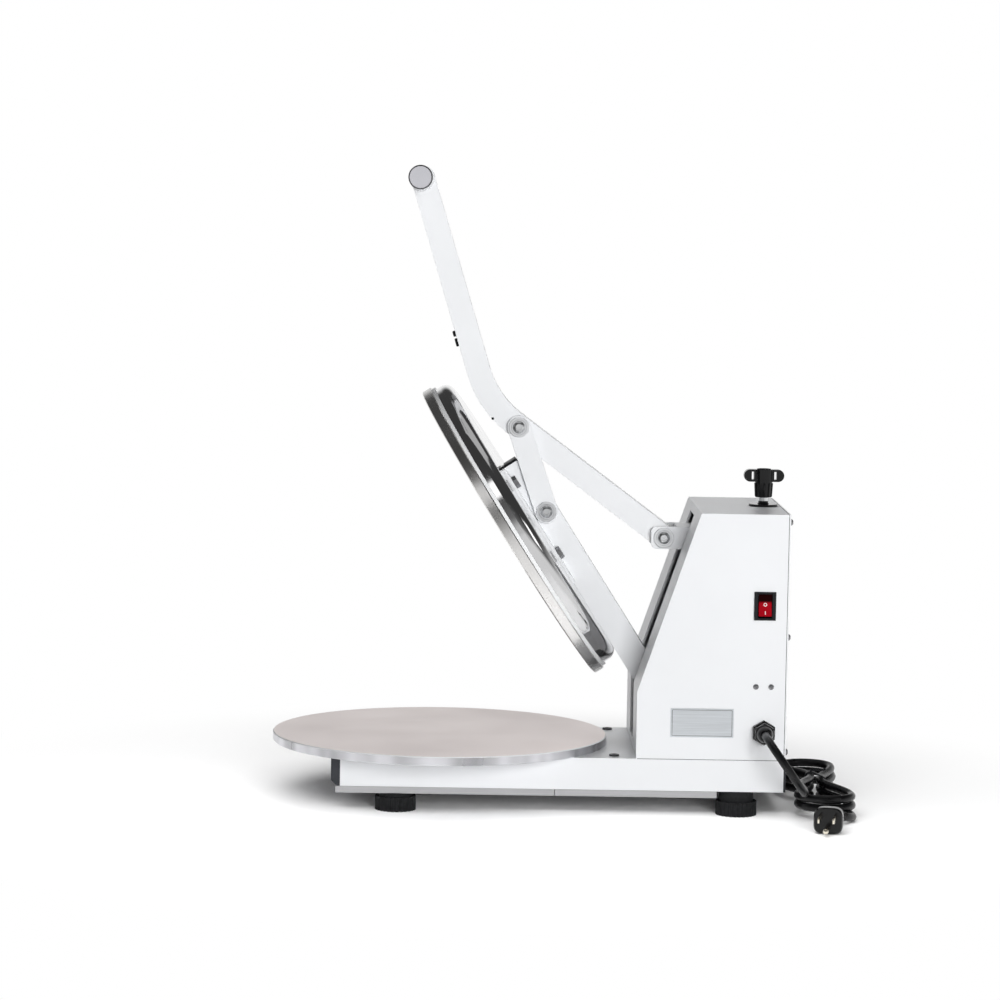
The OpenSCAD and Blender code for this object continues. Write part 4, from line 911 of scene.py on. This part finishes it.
def relief_curve():
    """Tapered, notched sleeve over the cord's last stretch."""
    stretch = [CORD_LINE[-1]]
    for p in reversed(CORD_LINE[:-1]):
        if line_length(stretch) > RELIEF_L:
            break
        stretch.append(p)
    line = smooth(stretch, RELIEF_RINGS)
    obj = tube_curve("plug_relief", line, 2 * PLUG_NOSE, gloss_black)
    for k, p in enumerate(obj.data.splines[0].points):
        p.radius = relief_radius(line_length(line[:k + 1]))
    return obj


plug_shell = piece("plug_shell", loft([plug_section(PLUG_L * i / PLUG_STEPS) for i in range(PLUG_STEPS + 1)]),
                   gloss_black, "frame", ON_PLUG)
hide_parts("plug_body")
blades = [(plug_blade(), ON_PLUG @ shift(PLUG_L + BLADE_OUT, s * BLADE_Y, BLADE_Z)) for s in SIDES]
earth = (earth_pin(), ON_PLUG @ shift(PLUG_L, 0, EARTH_Z) @ Matrix.Rotation(math.pi / 2, 4, "Y"))
plug_prongs = piece("plug_prongs", joined([*blades, earth]), blade_metal, "frame")
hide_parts("plug_pins")
plug_relief = relief_curve()
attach(plug_relief, "frame")


# Hank tie: a flat band drawn round the six runs at the waist, with its two ends twisted together
TIE_W, TIE_T, TIE_GAP = 6 * MM, 1.1 * MM, 0.25 * MM
TIE_CROWN = 0.42
TIE_STEPS = 72
TWIST_D, TWIST_R, TWIST_L, TWIST_UP = 1.4 * MM, 0.8 * MM, 14 * MM, 1.2 * MM
TWISTS, TWIST_STEPS = 3, 32
ON_HANK = Matrix.Translation((HANK_X, HANK_Y, 0)) @ Matrix.Rotation(HANK_TURN, 4, "Z")


def tie_runs():
    """Middles of the runs where they pass the waist, across the hank and up."""
    runs = []
    for loop in range(HANK_LOOPS):
        for share in (HANK_RUN_SHARE / 2, 0.5 + HANK_RUN_SHARE / 2):
            t = loop + share
            runs.append((hank_flat(t)[0], hank_height(t)))
    return runs


def tie_outline(reach):
    """Line drawn tight round the runs at a distance from their middles."""
    made = []
    for a in circle_angles(TIE_STEPS)[:-1]:
        out = (math.cos(a), math.sin(a))
        x, z = max(tie_runs(), key=lambda p: p[0] * out[0] + p[1] * out[1])
        made.append((x + reach * out[0], z + reach * out[1]))
    return made


def tie_band():
    rings = []
    near = CORD_D / 2 + TIE_GAP
    inner, outer = tie_outline(near), tie_outline(near + TIE_T)
    half, crown = TIE_W / 2, TIE_W * TIE_CROWN
    for (ix, iz), (ox, oz) in zip(inner + inner[:1], outer + outer[:1]):
        rings.append([(ix, -half, iz), (ox, -crown, oz), (ox, crown, oz), (ix, half, iz)])
    return loft(rings)


def tie_twist(phase):
    """One of the two ends, wound round the other and laid over the top of the hank."""
    across, up = zip(*tie_runs())
    start, top = min(across), max(up) + CORD_D / 2 + TIE_T + TWIST_UP
    line = []
    for i in range(TWIST_STEPS + 1):
        a = 2 * math.pi * TWISTS * i / TWIST_STEPS + phase
        x = start + TWIST_L * i / TWIST_STEPS
        line.append(ON_HANK @ Vector((x, TWIST_R * math.cos(a), top + TWIST_R * math.sin(a))))
    return line


tie = piece("tie_band", tie_band(), cap_plastic, "frame", ON_HANK)
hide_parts("hank_tie")
tie_ends = [tube_curve("tie_end", tie_twist(phase), TWIST_D, cap_plastic, THIN) for phase in (0, math.pi)]
for end in tie_ends:
    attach(end, "frame")


# Arm: a black plug in the open upper end
ON_ARM = Matrix.Translation(SHAFT) @ Matrix.Rotation(OPEN_ANGLE, 4, "Y")
ARM_END = -245.5 * MM
ARM_BACK, ARM_CUT_Z, ARM_TOP = -9 * MM, 5.2 * MM, 14.2 * MM
ARM_CUT_L = 20 * MM
ARM_PLATE_T, ARM_PLATE_EDGE = 2 * MM, 0.5 * MM
ARM_END_W, ARM_LID_W, ARM_LID_SINK = 33.6 * MM, 27.6 * MM, 1.4 * MM


def arm_plug():
    """End plate outside the walls, and a sloped plate between them under the cut corner."""
    high = ARM_CUT_Z - ARM_BACK - ARM_PLATE_T
    end = (slab((ARM_PLATE_T, ARM_END_W, high), ARM_PLATE_EDGE),
           shift(ARM_END - ARM_PLATE_T / 2, 0, ARM_CUT_Z - high / 2))
    rise = ARM_TOP - ARM_CUT_Z
    turn = Matrix.Rotation(-math.atan2(rise, ARM_CUT_L), 4, "Y")
    lid = (slab((math.hypot(ARM_CUT_L, rise), ARM_LID_W, ARM_PLATE_T), ARM_PLATE_EDGE),
           shift(ARM_END + ARM_CUT_L / 2, 0, ARM_CUT_Z + rise / 2) @ turn @ shift(0, 0, -ARM_LID_SINK))
    return joined([end, lid])


piece("arm_plug", arm_plug(), cap_plastic, "arm", ON_ARM)


# Lever: two rubber buffers on its front, and a weld bead round the handle bar on either side
LEVER_DIR = math.atan2(KNUCKLE.z - PIVOT.z, KNUCKLE.x - PIVOT.x)
ON_LEVER = Matrix.Translation(HANDLE) @ Matrix.Rotation(BEND_ANGLE - LEVER_DIR, 4, "Y")
LEVER_FRONT, LEVER_HALF = 9.7 * MM, 17 * MM
# Each buffer's place along the lever and its length
BUFFERS = ((-140.2 * MM, 5 * MM), (-148.2 * MM, 7.2 * MM))
BUFFER_W, BUFFER_H, BUFFER_EDGE, BUFFER_OUT = 12 * MM, 3.6 * MM, 0.7 * MM, 0.8 * MM
BAR_R = 10 * MM
WELD_D, WELD_OUT = 2.2 * MM, 0.35 * MM
WELD_FROM, WELD_SWEEP = 80, 200
WELD_STEPS, WELD_RIPPLES, WELD_RIPPLE = 120, 26, 0.15


def lever_buffer(x, length):
    return slab((length, BUFFER_W, BUFFER_H), BUFFER_EDGE), shift(x, 0, LEVER_FRONT + BUFFER_OUT)


def weld_bead(side):
    r, y = BAR_R + WELD_OUT, side * (LEVER_HALF + WELD_OUT)
    line = []
    for i in range(WELD_STEPS + 1):
        a = math.radians(WELD_FROM + WELD_SWEEP * i / WELD_STEPS)
        line.append(ON_LEVER @ Vector((r * math.cos(a), y, -r * math.sin(a))))
    obj = tube_curve("handle_weld", line, WELD_D, white, THIN)
    for i, p in enumerate(obj.data.splines[0].points):
        p.radius = 1 - WELD_RIPPLE * (1 - math.cos(2 * math.pi * WELD_RIPPLES * i / WELD_STEPS))
    return obj


buffers = joined([lever_buffer(*b) for b in BUFFERS])
piece("lever_buffers", buffers, foot_rubber, "lever", ON_LEVER)
for side in SIDES:
    bead = weld_bead(side)
    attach(bead, "lever")


# A small black stud in either side of the lever, by the bend
STUD_AT = Vector((-23.4 * MM, 0, 7.1 * MM))
STUD_R, STUD_H, STUD_IN = 1.2 * MM, 0.6 * MM, 1 * MM
studs = [(lathe([(STUD_R, -STUD_IN), *dome(STUD_R, STUD_H, 0)]),
          pointing(KNUCKLE + STUD_AT + Vector((0, s * LEVER_HALF, 0)), (0, s, 0))) for s in SIDES]
piece("lever_studs", joined(studs), cap_plastic, "lever")


# Handle: a dark chamfered ring round each turned end, painted shade on the steel cap's chamfer
HANDLE_LOW, HANDLE_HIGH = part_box("handle_caps")
RIM_R, RIM_W, RIM_OUT = 10.4 * MM, 1 * MM, 0.1 * MM
RIM_LOW, RIM_EDGE, RIM_HIGH = -0.4 * MM, -0.1 * MM, 0.25 * MM
RIM_STEPS = 64


def handle_shade_ring():
    inner, outer = RIM_R - RIM_W, RIM_R + RIM_OUT
    return ring([(inner, RIM_LOW), (outer, RIM_LOW), (outer, RIM_EDGE), (inner, RIM_HIGH)], RIM_STEPS)


ends = [pointing((HANDLE.x, y, HANDLE.z), (0, s, 0)) for s, y in ((-1, HANDLE_LOW.y), (1, HANDLE_HIGH.y))]
piece("handle_shade_rings", joined([(handle_shade_ring(), e) for e in ends]), dark_steel, "lever")


# Dark joints in the sheet metal: round the rear cover, and where the column stands on the base
JOINT_OUT = 0.02 * MM
JOINT_W = 0.45 * MM
JOINT_T = 1.2 * MM
JOINT_EDGE = 0.01 * MM
JOINT_SHORT = 2 * MM


def joint_strips():
    low, high = COLUMN_LOW, COLUMN_HIGH
    width = high.y - low.y + 2 * JOINT_OUT
    parts = [(slab((JOINT_W, width, high.z - low.z + JOINT_OUT), JOINT_EDGE),
              shift(high.x, 0, (low.z + high.z + JOINT_OUT) / 2))]
    length = high.x - low.x - JOINT_SHORT
    for s in SIDES:
        parts.append((slab((length, JOINT_T, JOINT_W), JOINT_EDGE),
                      shift((low.x + high.x) / 2, s * (width - JOINT_T) / 2, low.z)))
    return joined(parts)


piece("joint_strips", joint_strips(), foot_rubber, "frame")


# Rating plate: left blank, with a plain engraved border
LABEL_LOW, LABEL_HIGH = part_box("rating_plate")
LABEL_MIDDLE = (LABEL_LOW + LABEL_HIGH) / 2
BORDER_IN, BORDER_W, BORDER_T, BORDER_EDGE = 1.4 * MM, 0.35 * MM, 0.1 * MM, 0.04 * MM


def label_border():
    size = LABEL_HIGH - LABEL_LOW
    w, h = size.x - 2 * BORDER_IN, size.z - 2 * BORDER_IN
    parts = []
    for s in SIDES:
        parts.append((slab((w, BORDER_T, BORDER_W), BORDER_EDGE), shift(0, 0, s * h / 2)))
        parts.append((slab((BORDER_W, BORDER_T, h), BORDER_EDGE), shift(s * w / 2, 0, 0)))
    return joined(parts)


piece("label_border", label_border(), dark_steel, "frame",
      shift(LABEL_MIDDLE.x, LABEL_LOW.y, LABEL_MIDDLE.z))


# Looks of all solids, those that finer pieces replace too
LOOKS = {
    white: "base_shell column_shell rear_cover platen_arm bracket lever link_plates",
    tray_steel: "bottom_tray_front bottom_tray_rear",
    plate_top: "lower_plate",
    platen_alloy: "platen",
    cover_steel: "platen_cover",
    bar_steel: "handle_bar",
    cap_steel: "handle_caps",
    zinc: "foot_screws foot_nuts lower_plate_screws stiffener_plate rear_cover_screws pivot_cheeks "
          "cheek_bolts arm_shaft arm_spacers bracket_pin bracket_spacers shaft_clips spring_rod "
          "return_spring platen_standoffs adjuster_nut lever_pin knuckle_pins link_pin adjuster_screw",
    bolt_steel: "platen_bolts",
    brass: "arm_pivot_bush arm_link_bush lever_pivot_bush lever_knuckle_bush",
    blade_metal: "plug_pins",
    heater: "heating_element thermostat",
    foot_rubber: "feet",
    end_plastic: "front_end_cap rear_end_cap",
    cap_plastic: "switch_body hank_tie",
    gloss_black: "adjuster_knob adjuster_bush cable_gland gland_locknut plug_body",
    vinyl: "cord_lead cord_hank cord_tail",
    red: "rocker",
    ivory: "terminal_block",
    label_metal: "rating_plate",
    dark_steel: "terminal_screws base_top_screws",
}

for look, names in LOOKS.items():
    for name in names.split():
        nodes[name].data.materials.clear()
        nodes[name].data.materials.append(look)

# The lower plate's rim gets painted reflections in bands, and its chamfer a painted highlight; how far each
# kind of face points up
CHAMFER_UP, TOP_UP = 0.2, 0.9
plate_mesh = nodes["lower_plate"].data
for look in (plate_rim, painted_edge_highlight):
    plate_mesh.materials.append(look)
for face in plate_mesh.polygons:
    if face.normal.z < TOP_UP:
        face.material_index = 2 if face.normal.z > CHAMFER_UP else 1

# The cover's lip, which stands on the platen's edge, is bright with a painted highlight
LIP_H, LIP_SLACK = 3 * MM, 0.1 * MM
LIP_R = 143.6 * MM
to_arm = ON_ARM.inverted()
platen_places = [to_arm @ nodes["platen"].matrix_world @ v.co for v in nodes["platen"].data.vertices]
PLATEN_TOP = max(v.z for v in platen_places)
PLATEN_AT = (max(v.x for v in platen_places) + min(v.x for v in platen_places)) / 2
lip_mesh = nodes["platen_cover"].data
lip_mesh.materials.append(painted_edge_highlight)
for face in lip_mesh.polygons:
    spot = to_arm @ nodes["platen_cover"].matrix_world @ face.center
    if spot.z < PLATEN_TOP + LIP_H + LIP_SLACK and math.hypot(spot.x - PLATEN_AT, spot.y) > LIP_R:
        face.material_index = 1

# Small round-offs on the edges of sheet metal and machined pieces, by width
ROUND_OFF = {
    0.9 * MM: "adjuster_knob front_end_cap",
    0.5 * MM: "column_shell base_shell platen_arm link_plates bracket handle_caps",
    0.35 * MM: "lever rear_cover rear_end_cap switch_body platen_bolts bottom_tray_front bottom_tray_rear",
    0.2 * MM: "rating_plate adjuster_bush",
}
JOIN_WITHIN = 0.001 * MM
FLAT_ANGLE, SHARP_ANGLE = math.radians(0.5), math.radians(40)
ROUND_STEPS = 3


def round_off(obj, width):
    """Joins the solid's faces, leaves one face on each flat, and rounds the sharp edges."""
    obj.modifiers.new("join", "WELD").merge_threshold = JOIN_WITHIN
    flat = obj.modifiers.new("flat_faces", "DECIMATE")
    flat.decimate_type = "DISSOLVE"
    flat.angle_limit = FLAT_ANGLE
    bevel = obj.modifiers.new("round_off", "BEVEL")
    bevel.width = width
    bevel.segments = ROUND_STEPS
    bevel.limit_method = "ANGLE"
    bevel.angle_limit = SHARP_ANGLE
    bevel.face_strength_mode = "FSTR_ALL"
    even = obj.modifiers.new("even_shading", "WEIGHTED_NORMAL")
    even.use_face_influence = True


for width, names in ROUND_OFF.items():
    for name in names.split():
        round_off(nodes[name], width)


# Floor, light and world
FLOOR_SIZE = 14.0
FLOOR_FADE = (0.27, 0.6)
FLOOR_SEEN = 0.93
FLOOR_BOUNCE = 0.25
# Levels of backdrop and room by the height of a direction
BACKDROP = ((0.22, 1.0), (0.4, 0.06))
BACKDROP_LIGHT = 0.4
ROOM = ((0.05, 0.75), (0.15, 0.2), (0.5, 0.06))
# Where the room gives way to the backdrop, from front to rear
BACKDROP_SIDE = ((0.35, 0.0), (0.65, 1.0))
# Place, target, size and power of each light
LIGHTS = {
    "key": ((0.7, -3.0, 0.62), (-0.1, 0, 0.2), (1.2, 1.2), 70),
    "top": ((0.1, 0.2, 2.4), (0, 0, 0.2), (1.8, 1.8), 6),
    "fill": ((0.2, 2.7, 1.1), (0, 0, 0.2), (1.6, 1.2), 50),
    "softbox_left": ((-1.1, -2.25, 1.5), (-0.1, 0, 0.3), (0.7, 0.6), 2.4),
    "softbox_right": ((2.0, -1.6, 1.25), (0.1, 0, 0.3), (0.8, 0.8), 4),
    "floor_top": ((-0.7, -0.7, 2.5), (0, 0, 0), (3.0, 3.0), 52),
    "floor_front": ((-0.1, -2.2, 1.75), (0, 0, 0), (2.4, 0.8), 50),
}
# Lights that mirrors don't show
UNMIRRORED = ("key", "fill")
# Lights for the floor alone, and one for everything else
FLOOR_LINKS = {"floor_top": "INCLUDE", "floor_front": "INCLUDE", "fill": "EXCLUDE"}


def blend_values(tree, share, a, b):
    """a where share is 0 and b where it is 1; each is a number or a socket."""
    made = tree.nodes.new("ShaderNodeMix")
    tree.links.new(share, made.inputs["Factor"])
    feed(tree, made.inputs["A"], a)
    feed(tree, made.inputs["B"], b)
    return made.outputs["Result"]


def ray_kinds(tree):
    """Two sockets: 1 for camera rays, and 1 for glossy or transmission rays."""
    rays = tree.nodes.new("ShaderNodeLightPath").outputs
    mirrored = math_node(tree, "MAXIMUM", rays["Is Glossy Ray"], rays["Is Transmission Ray"])
    return rays["Is Camera Ray"], mirrored


def make_floor():
    mesh = bpy.data.meshes.new("floor")
    h = FLOOR_SIZE / 2
    mesh.from_pydata([(-h, -h, 0), (h, -h, 0), (h, h, 0), (-h, h, 0)], [], [(0, 1, 2, 3)])
    floor = new_object("floor", mesh)
    s = Shader("floor", (FLOOR_SEEN,) * 3, 0.9, specular=0.0)
    seen = math_node(s.tree, "MAXIMUM", *ray_kinds(s.tree))
    s.link(blend_values(s.tree, seen, FLOOR_BOUNCE, FLOOR_SEEN), s.bsdf.inputs["Base Color"])
    away = s.node("ShaderNodeVectorMath")
    away.operation = "LENGTH"
    s.link(s.place(), away.inputs[0])
    fade = s.spread(away.outputs["Value"], 0, 1, of=FLOOR_FADE, kind="SMOOTHSTEP")
    glow = s.node("ShaderNodeEmission", Color=(1, 1, 1, 1), Strength=1.0)
    mix = s.node("ShaderNodeMixShader")
    s.link(math_node(s.tree, "MULTIPLY", fade, seen), mix.inputs["Fac"])
    s.link(s.bsdf.outputs["BSDF"], mix.inputs[1])
    s.link(glow.outputs["Emission"], mix.inputs[2])
    s.link(mix.outputs["Shader"], s.tree.nodes["Material Output"].inputs["Surface"])
    floor.data.materials.append(s.material)
    return floor


def ramp_of(tree, value, stops):
    """A grey level that follows a value through stops of (position, level)."""
    ramp = tree.nodes.new("ShaderNodeValToRGB")
    marks = ramp.color_ramp.elements
    while len(marks) < len(stops):
        marks.new(0.5)
    for mark, (position, level) in zip(marks, stops):
        mark.position = position
        mark.color = (level, level, level, 1)
    tree.links.new(value, ramp.inputs["Fac"])
    return ramp.outputs["Color"]


def make_world():
    """White for the camera; for mirrors a white backdrop too, a dim room in front and dark overhead."""
    world = bpy.data.worlds.new("studio")
    bpy.context.scene.world = world
    world.use_nodes = True
    tree = world.node_tree
    shade = tree.nodes["Background"]
    shade.inputs["Color"].default_value = (1, 1, 1, 1)
    coords = tree.nodes.new("ShaderNodeTexCoord")
    split = tree.nodes.new("ShaderNodeSeparateXYZ")
    tree.links.new(coords.outputs["Generated"], split.inputs["Vector"])
    camera, glossy = ray_kinds(tree)
    behind = ramp_of(tree, split.outputs["Z"], BACKDROP)
    behind = math_node(tree, "MULTIPLY", behind, blend_values(tree, glossy, BACKDROP_LIGHT, 1.0))
    before = ramp_of(tree, split.outputs["Z"], ROOM)
    side = ramp_of(tree, math_node(tree, "MULTIPLY_ADD", split.outputs["Y"], 0.5, 0.5), BACKDROP_SIDE)
    level = blend_values(tree, camera, blend_values(tree, side, before, behind), 1.0)
    tree.links.new(level, shade.inputs["Strength"])


def area_light(name, place, target, size, power):
    data = bpy.data.lights.new(name, "AREA")
    data.shape = "RECTANGLE"
    data.size, data.size_y = size
    data.energy = power
    light = new_object(name, data)
    light.location = place
    light.rotation_euler = (Vector(target) - Vector(place)).to_track_quat("-Z", "Y").to_euler()
    return light


floor = make_floor()
make_world()
lights = {name: area_light(name, *values) for name, values in LIGHTS.items()}
for name in UNMIRRORED:
    lights[name].visible_glossy = False
for name, state in FLOOR_LINKS.items():
    linked = bpy.data.collections.new(name + "_on_floor")
    linked.objects.link(floor)
    linked.collection_objects[0].light_linking.link_state = state
    lights[name].light_linking.receiver_collection = linked
bpy.context.scene.view_settings.view_transform = "Standard"
